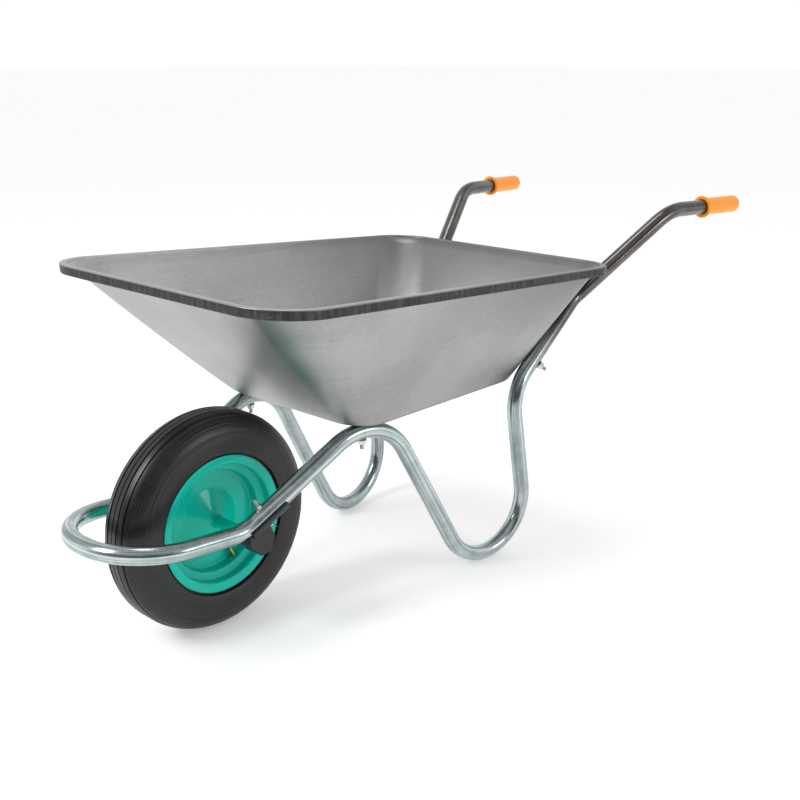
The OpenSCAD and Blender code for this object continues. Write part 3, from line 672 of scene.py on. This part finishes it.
def run_tree(source, tree, sockets, sizes, name, look, smooth_below=35.0):
    """Runs the tree on an object and returns its result as a plain, finished object."""
    modifier = source.modifiers.new("nodes", "NODES")
    modifier.node_group = tree.tree
    for label, size in sizes.items():
        modifier[sockets[label].identifier] = size
    bpy.context.view_layer.update()
    seen = source.evaluated_get(bpy.context.evaluated_depsgraph_get())
    mesh = bpy.data.meshes.new_from_object(seen)
    mesh.name = name
    source.modifiers.remove(modifier)
    bpy.data.objects.remove(source)
    return finished(name, mesh, look, smooth_below)


def named(tree, name, kind="FLOAT"):
    return tree.add("GeometryNodeInputNamedAttribute", {"data_type": kind}, {"Name": name})


def stored(tree, shape, name, kind, value):
    return tree.add("GeometryNodeStoreNamedAttribute", {"data_type": kind, "domain": "POINT"},
                    {"Geometry": shape, "Name": name, "Value": value})


print("geometry helpers ready")


# %% The tree that sweeps and flattens the tube
def tube_tree():
    tree, given, sockets = new_tree("bent_tube", [("Sides", "Int"), ("Flattening", "Float"),
                                                  ("Wrinkle depth", "Float"), ("Wrinkle spacing", "Float"),
                                                  ("Floor", "Float"), ("Finish", "Material")])
    path = tree.add("GeometryNodeMeshToCurve", {}, {0: given["Geometry"]})
    path = stored(tree, path, "middle", "FLOAT_VECTOR", tree.add("GeometryNodeInputPosition"))
    path = stored(tree, path, "along", "FLOAT", tree.add("GeometryNodeSplineParameter", out="Length"))
    circle = tree.add("GeometryNodeCurvePrimitiveCircle", {}, {"Resolution": given["Sides"], "Radius": 1.0})
    circle = stored(tree, circle, "round", "FLOAT", tree.add("GeometryNodeSplineParameter", out="Factor"))
    tube = tree.add("GeometryNodeCurveToMesh", {}, {0: path, 1: circle, "Scale": named(tree, "girth"),
                                                    "Fill Caps": True})
    middle = named(tree, "middle", "FLOAT_VECTOR")
    inside = named(tree, "inside", "FLOAT_VECTOR")
    here = tree.add("GeometryNodeInputPosition")
    reach = tree.across("DOT_PRODUCT", tree.across("SUBTRACT", here, middle), inside, "Value")
    along, girth = named(tree, "along"), named(tree, "girth")
    wave = 0.5 - (along * TURN / given["Wrinkle spacing"]).math("COSINE") * 0.5
    inner = (reach / girth).math("MAXIMUM", 0.0)
    push = reach * named(tree, "flatten") * given["Flattening"]
    push = push + inner * inner * wave * named(tree, "wrinkle") * given["Wrinkle depth"]
    moved = tree.add("ShaderNodeVectorMath", {"operation": "SCALE"}, {0: inside, "Scale": push * -1.0})
    tube = tree.add("GeometryNodeSetPosition", {}, {"Geometry": tube, "Offset": moved})
    x, y, z = tree.split(tree.add("GeometryNodeInputPosition"))
    ground = tree.join(x, y, z.math("MAXIMUM", given["Floor"]))
    tube = tree.add("GeometryNodeSetPosition", {}, {"Geometry": tube, "Position": ground})
    angle = named(tree, "round") * TURN
    place = tree.join(angle.math("COSINE"), angle.math("SINE"), along)
    tube = stored(tree, tube, "tube_place", "FLOAT_VECTOR", place)
    close_tree(tree, tube, given["Finish"])
    return tree, sockets


tree, sockets = tube_tree()
tube = run_tree(tube_source, tree, sockets,
                {"Sides": 48, "Flattening": 0.03, "Wrinkle depth": 0.35 * MM, "Wrinkle spacing": 11 * MM,
                 "Floor": 0.0, "Finish": looks["tube"]}, "bent_tube", "tube", 50.0)
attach(tube, "chassis")
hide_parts("frame_tube")

# %% [markdown]
# ## The tyre
#
# The tyre's section is the fat rounded shape of a barrow tyre: five grooves run round the tread and
# finer lines round its shoulders, the side bulges past the rim and a bead sits behind the rim's
# flange. Anything that is the same all the way round is best turned, so one half section is worked
# out, mirrored and turned in many fine steps.

# %% The tyre's section
tyre_low, tyre_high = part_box("tyre")
tyre_r = (tyre_high[0] - tyre_low[0]) / 2
tyre_w = tyre_high[1] - tyre_low[1]
crown_reach, bead_reach = 46 * MM, 56 * MM
tyre_mid = tyre_r - crown_reach
fullness = 0.87
beside_flange, flange_end = 37.2 * MM, 123 * MM


def sized(v, power):
    return math.copysign(abs(v) ** power, v)


def tyre_spot(a, wall, tread):
    """A point of the section (radius, side) at an angle from the widest place towards the crown."""
    reach = crown_reach - tread if a > 0 else bead_reach - wall
    return (tyre_mid + reach * sized(math.sin(math.radians(a)), fullness),
            (tyre_w / 2 - wall) * sized(math.cos(math.radians(a)), fullness))


groove_pitch, first_line, line_pitch = 11.5 * MM, 29.5 * MM, 3.2 * MM
# Half width, depth and distances from the tyre's middle: the tread's grooves, then the shoulder's lines
cuts = ((1.3 * MM, 2.6 * MM, [i * groove_pitch for i in range(3)]),
        (0.5 * MM, 0.9 * MM, [first_line + i * line_pitch for i in range(4)]))


def groove_depth(side):
    """How deep the tread is cut at a distance from the tyre's middle."""
    depth = 0.0
    for half_width, deep, places in cuts:
        if any(abs(abs(side) - place) < half_width for place in places):
            depth = max(depth, deep)
    return depth


# Radius, half width and height of the fine raised rings on the tyre's side
side_rings = ((128, 1.2, 0.5), (133.5, 0.5, 0.35), (150, 0.6, 0.3), (158, 0.6, 0.45))


def side_mark(radius):
    """How high a raised ring stands at a radius."""
    height = 0.0
    for at, wide, tall in side_rings:
        off = abs(radius - at * MM) / (wide * MM)
        if off < 1:
            height = max(height, tall * MM * (1 - off * off))
    return height


def tyre_outside(steps=260):
    made = []
    for k in range(steps + 1):
        a = -36 + 126 * k / steps
        radius, side = tyre_spot(a, 0, -1.2 * MM)
        if radius < flange_end:
            side = min(side, beside_flange)
        if a > 25:
            radius -= groove_depth(side)
        else:
            side -= max(0, 0.45 * MM - side_mark(radius)) if radius > 121 * MM else 0
        made.append((min(radius, tyre_r), side))
    return made


half = tyre_outside()
bead_r = 104.5 * MM
inner = [tyre_spot(-34 + 7.75 * k, 5 * MM, 8 * MM) for k in range(17)]
inner = [(r, min(y, beside_flange - 4 * MM) if r < flange_end else y) for r, y in inner]
half_outer = [(bead_r, 23 * MM)] + arc((bead_r + 3 * MM, beside_flange - 3 * MM), 3 * MM, 180, 90, 4) + half
half_inner = [(bead_r + 7 * MM, 22 * MM)] + inner
outer_loop = half_outer + [(r, -y) for r, y in reversed(half_outer[:-1])]
inner_loop = half_inner + [(r, -y) for r, y in reversed(half_inner[:-1])]
tyre_outline = outer_loop + list(reversed(inner_loop))
print("tyre outline of", len(tyre_outline), "points")

points, faces = turned_grid(tyre_outline, 148, wheel_frame)
tyre = object_from("ribbed_tyre", points, faces, "rubber", 38.0)
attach(tyre, "wheel")
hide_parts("tyre")

# %% [markdown]
# ### Whiskers
#
# When a tyre is moulded, air leaves through tiny holes in the mould, and rubber that follows it
# stays on the tyre as thin whiskers. They repeat round both sides, each a little different, so a
# Geometry Nodes tree scatters them: points on circles, some of them dropped by a seeded random
# value, and a small cone on each that leans its own way.

# %% The tree that grows whiskers
def whisker_tree():
    tree, given, sockets = new_tree("whiskers", [("Count", "Int"), ("Ring radius", "Float"),
                                                 ("Side", "Float"), ("Length", "Float"),
                                                 ("Thickness", "Float"), ("Lean out", "Float"),
                                                 ("Kept", "Float"), ("Seed", "Int"),
                                                 ("Finish", "Material")])
    ring = tree.add("GeometryNodeMeshCircle", {}, {"Vertices": given["Count"],
                                                   "Radius": given["Ring radius"]})
    ring = tree.add("GeometryNodeTransform", {}, {"Geometry": ring, "Rotation": (math.pi / 2, 0, 0),
                                                  "Translation": tree.join(axle_x, given["Side"], axle_z)})
    keep = tree.add("FunctionNodeRandomValue", {"data_type": "FLOAT"}, {"Seed": given["Seed"]}, 1)
    axle = tree.join(axle_x, given["Side"], axle_z)
    outward = tree.across("NORMALIZE", tree.across("SUBTRACT", tree.add("GeometryNodeInputPosition"), axle))
    sideways = tree.join(0.0, given["Lean out"] * given["Side"].math("SIGN"), 0.0)
    jitter = tree.add("FunctionNodeRandomValue", {"data_type": "FLOAT_VECTOR"},
                      {"Min": (-0.6, -0.2, -0.6), "Max": (0.6, 0.2, 0.6), "Seed": given["Seed"] + 1.0}, 0)
    facing = tree.across("ADD", tree.across("ADD", outward, sideways), jitter)
    cone = tree.add("GeometryNodeMeshCone", {}, {"Vertices": 5, "Radius Top": given["Thickness"] * 0.4,
                                                 "Radius Bottom": given["Thickness"],
                                                 "Depth": given["Length"]})
    turned = tree.add("FunctionNodeAlignRotationToVector", {"axis": "Z"}, {"Vector": facing})
    grow = tree.add("FunctionNodeRandomValue", {"data_type": "FLOAT"},
                    {2: 0.5, 3: 1.0, "Seed": given["Seed"] + 2.0}, 1)
    many = tree.add("GeometryNodeInstanceOnPoints", {}, {
        "Points": ring, "Selection": keep.math("LESS_THAN", given["Kept"]), "Instance": cone,
        "Rotation": turned, "Scale": tree.join(1.0, 1.0, grow)})
    close_tree(tree, many, given["Finish"])
    return tree, sockets


# %% Whiskers on both sides and on the shoulders
def side_at(radius):
    """How far out the tyre's side is at a radius."""
    return min(half, key=lambda p: abs(p[0] - radius) + (0 if p[1] > tyre_w * 0.3 else 1))[1]


whiskers = []
# Name, places on the ring, its radius, length, lean outwards and the share of places used
families = (("side_low", 60, 125, 6.0, 0.9, 0.38), ("side_high", 72, 150, 5.0, 1.2, 0.3),
            ("shoulder", 80, 176, 5.0, 0.8, 0.25))
for index, (label, count, radius, length, lean, kept) in enumerate(families):
    for sign in (-1, 1):
        tree, sockets = whisker_tree()
        seat = in_scene("seat", bpy.data.meshes.new("seat"))
        sizes = {"Count": count, "Ring radius": radius * MM,
                 "Side": sign * (side_at(radius * MM) - 0.4 * MM), "Length": length * MM,
                 "Thickness": 0.35 * MM, "Lean out": lean, "Kept": kept,
                 "Seed": 11 + 7 * index + sign, "Finish": looks["rubber"]}
        name = f"whiskers_{label}_{'left' if sign < 0 else 'right'}"
        grown = run_tree(seat, tree, sockets, sizes, name, "rubber")
        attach(grown, "wheel")
        whiskers.append(grown)
print("whisker families:", len(whiskers))

# %% [markdown]
# ## The rim and the axle
#
# The rim is two steel pressings back to back. Each one starts as a collar on the axle, widens as a
# cone, runs flat, steps out deeply to the seat of the tyre and ends in a flange. The line of the
# sheet is drawn once with rounded corners, given its thickness on both sides, and turned.

# %% The line of the rim
rim_t = 1.6 * MM
axle_r = (axle_high[0] - axle_low[0]) / 2
web = rim_t / 2 + 0.05 * MM
collar_r = axle_r + 0.05 * MM + rim_t / 2
flange_r = (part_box("rim_left")[1][0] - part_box("rim_left")[0][0]) / 2
flange_y = -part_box("rim_left")[0][1]
seat_r = 103.4 * MM
rim_corners = [(collar_r, 24, 0), (collar_r, 20, 2), (54 * MM, web / MM, 14), (90 * MM, web / MM, 5),
               (90 * MM, 20, 3), (seat_r, 23, 3), (seat_r, flange_y / MM - rim_t / MM - 1, 3),
               (flange_r - 0.9 * MM, flange_y / MM - 0.9, 1)]


def rounded(corners, steps=7):
    """Points along a line of (across, along, corner radius)."""
    made = [Vector(corners[0][:2])]
    for i in range(1, len(corners) - 1):
        a, v, b = (Vector(corners[k][:2]) for k in (i - 1, i, i + 1))
        radius = corners[i][2]
        u, w = (v - a).normalized(), (b - v).normalized()
        turn = u.angle(w)
        if turn < 0.02:
            made.append(v)
            continue
        cut = min(radius * math.tan(turn / 2), (v - a).length * 0.48, (b - v).length * 0.48)
        radius = cut / math.tan(turn / 2)
        inward = (w - u * u.dot(w)).normalized()
        middle = v - u * cut + inward * radius
        for k in range(steps + 1):
            t = turn * k / steps
            made.append(middle - inward * radius * math.cos(t) + u * radius * math.sin(t))
    made.append(Vector(corners[-1][:2]))
    return made


def sheet_outline(line, thickness, end_steps=4):
    """A closed outline of even thickness round a line, with rounded ends."""
    one, two = [], []
    for i, p in enumerate(line):
        before = (line[i] - line[i - 1]).normalized() if i else (line[1] - line[0]).normalized()
        after = (line[i + 1] - line[i]).normalized() if i < len(line) - 1 else before
        along = (before + after).normalized()
        normal = Vector((-along.y, along.x)) * thickness / 2
        one.append(p + normal)
        two.append(p - normal)
    tip = (line[-1] - line[-2]).normalized()
    across = Vector((-tip.y, tip.x))
    cap = [line[-1] + (across * math.cos(a) + tip * math.sin(a)) * thickness / 2
           for a in (math.pi * k / end_steps for k in range(1, end_steps))]
    return [tuple(p) for p in one + cap + list(reversed(two))]


def rim_half(name, node, side):
    line = [Vector((p.x, p.y * side)) for p in rounded([(r / MM, y, c) for r, y, c in rim_corners])]
    outline = [(r * MM, y * MM) for r, y in sheet_outline(line, rim_t / MM)]
    points, faces = turned_grid(outline, 144, wheel_frame)
    made = object_from(name, points, faces, "paint", 40.0)
    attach(made, "wheel")
    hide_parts(node)
    return made


rim_half("rim_pressing_left", "rim_left", -1)
rim_half("rim_pressing_right", "rim_right", 1)

# %% [markdown]
# The axle is a plain tube pushed through both pressings, with a bead of weld where it meets each
# collar. A weld is a row of overlapping ripples, so its outline wobbles as it goes round.

# %% The axle and its weld beads
axle_half = (axle_high[1] - axle_low[1]) / 2
bore = axle_r - 2.5 * MM
edge = 0.6 * MM
axle_outline = [(bore, -axle_half), (axle_r - edge, -axle_half), (axle_r, -axle_half + edge),
                (axle_r, axle_half - edge), (axle_r - edge, axle_half), (bore, axle_half)]
points, faces = turned_grid(axle_outline, 64, wheel_frame)
axle = object_from("axle_tube", points, faces, "paint", 40.0)
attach(axle, "wheel")
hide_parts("axle")


def weld_bead(name, side):
    points, around = [], 10
    steps, ripples = 120, 22
    bead_middle, bead_side = collar_r + 0.4 * MM, 24.2 * MM
    for i in range(steps):
        a = TURN * i / steps
        rough = noise.noise(Vector((math.cos(a), math.sin(a), side * 3)) * 4)
        swell = 1 + 0.16 * math.sin(ripples * a) + 0.1 * rough
        for j in range(around):
            b = TURN * j / around
            radius = bead_middle + 1.7 * MM * swell * math.cos(b)
            along = side * bead_side + 1.5 * MM * swell * math.sin(b)
            points.append(wheel_frame @ Vector((radius * math.cos(a), radius * math.sin(a), along)))
    made = object_from(name, points, ring_faces(steps, around, True), "paint", 60.0)
    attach(made, "wheel")


weld_bead("hub_weld_left", -1)
weld_bead("hub_weld_right", 1)

# %% [markdown]
# ## The grips
#
# Each grip is a moulded plastic sleeve with a rounded end and a collar that keeps the hand from
# sliding forwards. It is turned from one outline that includes its bore, so the dark gap round the
# tube at the collar is real.

# %% A grip's outline and the two grips
grip_len, grip_r = 115 * MM, 17.5 * MM
collar_grip_r, collar_t, end_t = 22.5 * MM, 5 * MM, 4 * MM
grip_end = from_axle(1205, 294.6, 630)
grip_axis = (tube_end - handle).normalized()


def grip_outline():
    """(radius, distance from the closed end) of a grip, outside then bore."""
    made = [(0.0, 0.0)]
    made += arc((grip_r - 4.5 * MM, 4.5 * MM), 4.5 * MM, -90, 0, 8)
    made += [(grip_r, grip_len * 0.3), (grip_r - 0.25 * MM, grip_len * 0.55), (grip_r, grip_len * 0.85)]
    made += arc((grip_r + 2 * MM, grip_len - collar_t - 2 * MM), 2 * MM, 180, 90, 5)
    made += arc((collar_grip_r - 1.6 * MM, grip_len - collar_t + 1.6 * MM), 1.6 * MM, -90, 0, 4)
    made += arc((collar_grip_r - 1.6 * MM, grip_len - 1.6 * MM), 1.6 * MM, 0, 90, 4)
    made += arc((tube_r + 1.3 * MM, grip_len - 0.8 * MM), 0.8 * MM, 90, 180, 3)
    made += [(tube_r + 0.4 * MM, grip_len - 12 * MM), (tube_r + 0.05 * MM, grip_len - 14 * MM),
             (tube_r + 0.05 * MM, end_t), (0.0, end_t)]
    return made


for side, label in ((-1, "left"), (1, "right")):
    end = Vector((grip_end.x, side * grip_end.y, grip_end.z))
    facing = Vector((-grip_axis.x, -side * grip_axis.y, -grip_axis.z))
    points, faces = turned_grid(grip_outline(), 72, frame_on(end, facing))
    grip = object_from(f"grip_sleeve_{label}", points, faces, "grip", 40.0)
    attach(grip, "chassis")
    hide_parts(f"grip_{label}")

# %% [markdown]
# ## Bolts, washers and nuts
#
# Six bolts hold the barrow together: four fix the tray to the tube and two fix the axle blocks. Left
# and right are the same, so each pair is modelled once and a Geometry Nodes tree puts a copy on each
# seat, turned to face the way that the seat says.

# %% One bolt with its washer and nut, standing along Z
washer_t = 1.6 * MM
nut_share = 0.8  # A nut's height as a share of its thread's size


def add_grid(shape, points, faces):
    verts = [shape.verts.new(p) for p in points]
    for f in faces:
        shape.faces.new([verts[i] for i in f])


def add_turned(shape, outline, steps):
    add_grid(shape, *turned_grid(outline, steps, Matrix.Identity(4)))


def add_hex(shape, across, low, high, bore, around=24):
    """A hexagon with bevelled rims and a hole."""
    points, chamfer, rim = [], across * 0.08, across * 0.88
    outline = ((bore, low), (rim, low), (across, low + chamfer), (across, high - chamfer), (rim, high),
               (bore, high))
    for radius, z in outline:
        for i in range(around):
            a = TURN * i / around
            flat = math.cos(math.pi / 6) / math.cos((a % (math.pi / 3)) - math.pi / 6)
            r = min(radius, across * flat) if radius > bore else bore
            points.append((r * math.cos(a), r * math.sin(a), z))
    add_grid(shape, points, ring_faces(len(outline), around, True))


def thread_outline(radius, low, high, pitch):
    """A rod whose edge goes in and out like a thread, with a bevelled tip."""
    made = [(0.0, low), (radius * 0.72, low)]
    z = low + radius * 0.25
    while z < high - pitch:
        made += [(radius, z), (radius * 0.88, z + pitch * 0.5)]
        z += pitch
    return made + [(radius, high), (0.0, high)]


def bolt_mesh(name, d, tip, nut_low, washer_low, shank_end, head):
    """tip, nut, washer and head are heights along the bolt; head is 'dome' or 'hex'."""
    shape = bmesh.new()
    nut_h = d * nut_share
    add_turned(shape, thread_outline(d / 2, tip, shank_end, d * 0.156), 20)
    add_hex(shape, d * 0.94, nut_low, nut_low + nut_h, d * 0.48)
    washer_r, bevel, washer_high = d * 1.05, 0.3 * MM, washer_low + washer_t
    add_turned(shape, [(d / 2, washer_low), (washer_r - bevel, washer_low), (washer_r, washer_low + bevel),
                       (washer_r, washer_high - bevel), (washer_r - bevel, washer_high),
                       (d / 2, washer_high)], 36)
    if head == "dome":
        dome = [(0.0, shank_end - 0.2 * MM), (d, shank_end - 0.2 * MM)]
        dome += [(d * math.cos(a), shank_end + 3.8 * MM * math.sin(a)) for a in
                 (math.radians(6 + 84 * k / 8) for k in range(9))]
        add_turned(shape, dome, 36)
    else:
        add_hex(shape, d, shank_end, shank_end + 4 * MM, 0.02 * MM)
    mesh = bpy.data.meshes.new(name)
    shape.to_mesh(mesh)
    shape.free()
    made = in_scene(name, mesh)
    made.hide_render = True
    return made


# %% The tree that puts a bolt on every seat
def bolt_tree():
    tree, given, sockets = new_tree("bolts_on_seats", [("Bolt", "Object"), ("Size", "Float"),
                                                       ("Finish", "Material")])
    bolt = tree.add("GeometryNodeObjectInfo", {}, {"Object": given["Bolt"]}, "Geometry")
    facing = named(tree, "facing", "FLOAT_VECTOR")
    turned = tree.add("FunctionNodeAlignRotationToVector", {"axis": "Z"}, {"Vector": facing})
    scale = tree.join(given["Size"], given["Size"], given["Size"])
    many = tree.add("GeometryNodeInstanceOnPoints", {}, {"Points": given["Geometry"], "Instance": bolt,
                                                         "Rotation": turned, "Scale": scale})
    close_tree(tree, many, given["Finish"])
    return tree, sockets


def put_bolts(name, bolt, seats, nodes):
    """Seats are (place, facing); the copies become one plain piece."""
    mesh = bpy.data.meshes.new("seats")
    mesh.from_pydata([p for p, _ in seats], [], [])
    facing = mesh.attributes.new("facing", "FLOAT_VECTOR", "POINT")
    for i, (_, direction) in enumerate(seats):
        facing.data[i].vector = direction
    source = in_scene("seats", mesh)
    tree, sockets = bolt_tree()
    sizes = {"Bolt": bolt, "Size": 1.0, "Finish": looks["bolt"]}
    made = run_tree(source, tree, sockets, sizes, name, "bolt", 30.0)
    bpy.data.objects.remove(bolt)
    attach(made, "chassis")
    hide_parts(*nodes)


# %% Seats of the six bolts
def both(p):
    return [Vector((p.x, side * p.y, p.z)) for side in (-1, 1)]


arch_top = from_axle(219, 147.979, 324.65)
slope_mid = from_axle(642.151, 191.532, 374.563)
out_of_tray = Vector((0.468429, 0.642994, -0.605915))
block_seat = from_axle(17.9643, 122.342, 225.709)
block_up = Vector((-0.489417, -0.0624143, 0.869814))
tray_d, block_d = 8 * MM, 6 * MM
gap, thread_left = 0.05 * MM, 9 * MM


def tray_bolt(under_tube, above_tube):
    """A tray bolt from the distances of the tube's underside and of the head to the tube's middle."""
    nut_low = -(under_tube + washer_t + gap + tray_d * nut_share)
    return bolt_mesh("tray_bolt", tray_d, nut_low - thread_left, nut_low, -(under_tube + washer_t),
                     above_tube, "dome")


arch_under = 15.233 * MM
front = tray_bolt(arch_under, bend_r + sheet_t + 3 * gap)
put_bolts("tray_bolts_front", front, [(p, (0, 0, 1)) for p in both(arch_top)],
          ["bolt_front_left", "bolt_front_right", "washer_front_left", "washer_front_right",
           "nut_front_left", "nut_front_right"])
rear = tray_bolt(tube_r + gap, tube_r + sheet_t * 1.9 + 3 * gap)
put_bolts("tray_bolts_rear", rear, list(zip(both(slope_mid), [-v for v in both(out_of_tray)])),
          ["bolt_rear_left", "bolt_rear_right", "washer_rear_left", "washer_rear_right",
           "nut_rear_left", "nut_rear_right"])
head_seat = tube_r + 5.95 * MM + gap
block_thread = 13 * MM
block = bolt_mesh("block_bolt", block_d, -(tube_r + washer_t + block_d * nut_share + block_thread),
                  -(tube_r + washer_t + block_d * nut_share + 2 * gap), -(tube_r + washer_t + gap),
                  head_seat, "hex")
put_bolts("block_bolts", block, list(zip(both(block_seat), [-v for v in both(block_up)])),
          [f"block_{kind}_{side}" for kind in ("bolt", "washer", "nut") for side in ("left", "right")])

# %% [markdown]
# ## CAD solids that stay
#
# The two axle blocks, the inner tube and the valve already have their right shapes, so they keep
# their CAD meshes and only get their finishes.

# %% Finishes on the solids that stay
kept = {"axle_block_left": "block", "axle_block_right": "block", "inner_tube": "tube_rubber",
        "valve_stem": "brass", "valve_cap": "block"}
for node, look in kept.items():
    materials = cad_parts[node].data.materials
    materials.clear()
    materials.append(looks[look])
print("kept CAD solids:", len(kept))

# %% [markdown]
# ## Floor, light and camera
#
# Metal only looks like metal when it has something to mirror. The floor is plain and pale and glows
# a little, so that it stays white far away. The sky is a soft studio: brightest at the horizon,
# dimmer overhead and darker behind the camera, so that the bends of the tube and the corners of the
# tray pick up both light and dark.

# %% A pale floor
floor_mesh = bpy.data.meshes.new("floor")
reach = 60.0
floor_mesh.from_pydata([(-reach, -reach, 0), (reach, -reach, 0), (reach, reach, 0), (-reach, reach, 0)], [],
                       [(0, 1, 2, 3)])
floor = in_scene("floor", floor_mesh)
paper, tree, shader = finish_named("paper", Roughness=0.9, Specular_IOR_Level=0.1,
                                   Emission_Color=(1, 1, 1, 1), Emission_Strength=0.27)
paper_tone = tree.noise(tree.object_place(), 2.0, 2.0)
tree.put(shader.inputs["Base Color"], tree.mix(paper_tone, (0.93, 0.93, 0.93, 1), (0.95, 0.95, 0.95, 1)))
floor_mesh.materials.append(paper)

# %% A soft studio sky
world = bpy.data.worlds.new("studio")
bpy.context.scene.world = world
world.use_nodes = True
world.node_tree.nodes.clear()
tree = Tree(world.node_tree)
x, y, z = tree.split(tree.add("ShaderNodeTexCoord", out="Generated"))
toward_camera = x * -0.73 + y * -0.68
shade = tree.ramp(toward_camera, 0.1, 0.8) * tree.ramp(z, 0.85, 0.3)
overhead = tree.ramp(z, 0.35, 0.95)
strength = (1.06 - overhead * 0.42) * (1.0 - shade * 0.86)
background = tree.node("ShaderNodeBackground", {}, {"Color": (1.0, 1.0, 1.0, 1), "Strength": strength})
out = tree.node("ShaderNodeOutputWorld")
world.node_tree.links.new(background.outputs[0], out.inputs[0])


# %% Lamps
def lamp(name, place, target, size, power):
    data = bpy.data.lights.new(name, "AREA")
    data.shape = "RECTANGLE"
    data.size, data.size_y = size
    data.energy = power
    made = in_scene(name, data)
    made.location = place
    made.rotation_mode = "QUATERNION"
    made.rotation_quaternion = (Vector(target) - Vector(place)).to_track_quat("-Z", "Y")


lamp("key", (-2.6, 0.6, 2.4), (-0.2, 0, 0.3), (0.9, 1.2), 52)
lamp("fill", (0.9, -2.8, 1.1), (0, 0, 0.3), (0.9, 0.6), 12)
lamp("top", (0.2, 0.3, 3.2), (0, 0, 0.3), (1.2, 0.8), 16)

# %% The camera
camera_data = bpy.data.cameras.new("camera")
camera_data.lens = 50.36
camera_data.sensor_width = 36.0
camera = in_scene("camera", camera_data)
camera.location = (-1.52887, -1.42881, 0.94139)
azimuth, elevation = math.radians(-46.884), math.radians(17.287)
back = Vector((math.sin(azimuth) * math.cos(elevation), -math.cos(azimuth) * math.cos(elevation),
               math.sin(elevation)))
camera.rotation_mode = "QUATERNION"
camera.rotation_quaternion = (-back).to_track_quat("-Z", "Y")
bpy.context.scene.camera = camera
bpy.context.scene.view_settings.view_transform = "Standard"
bpy.context.scene.view_settings.look = "None"
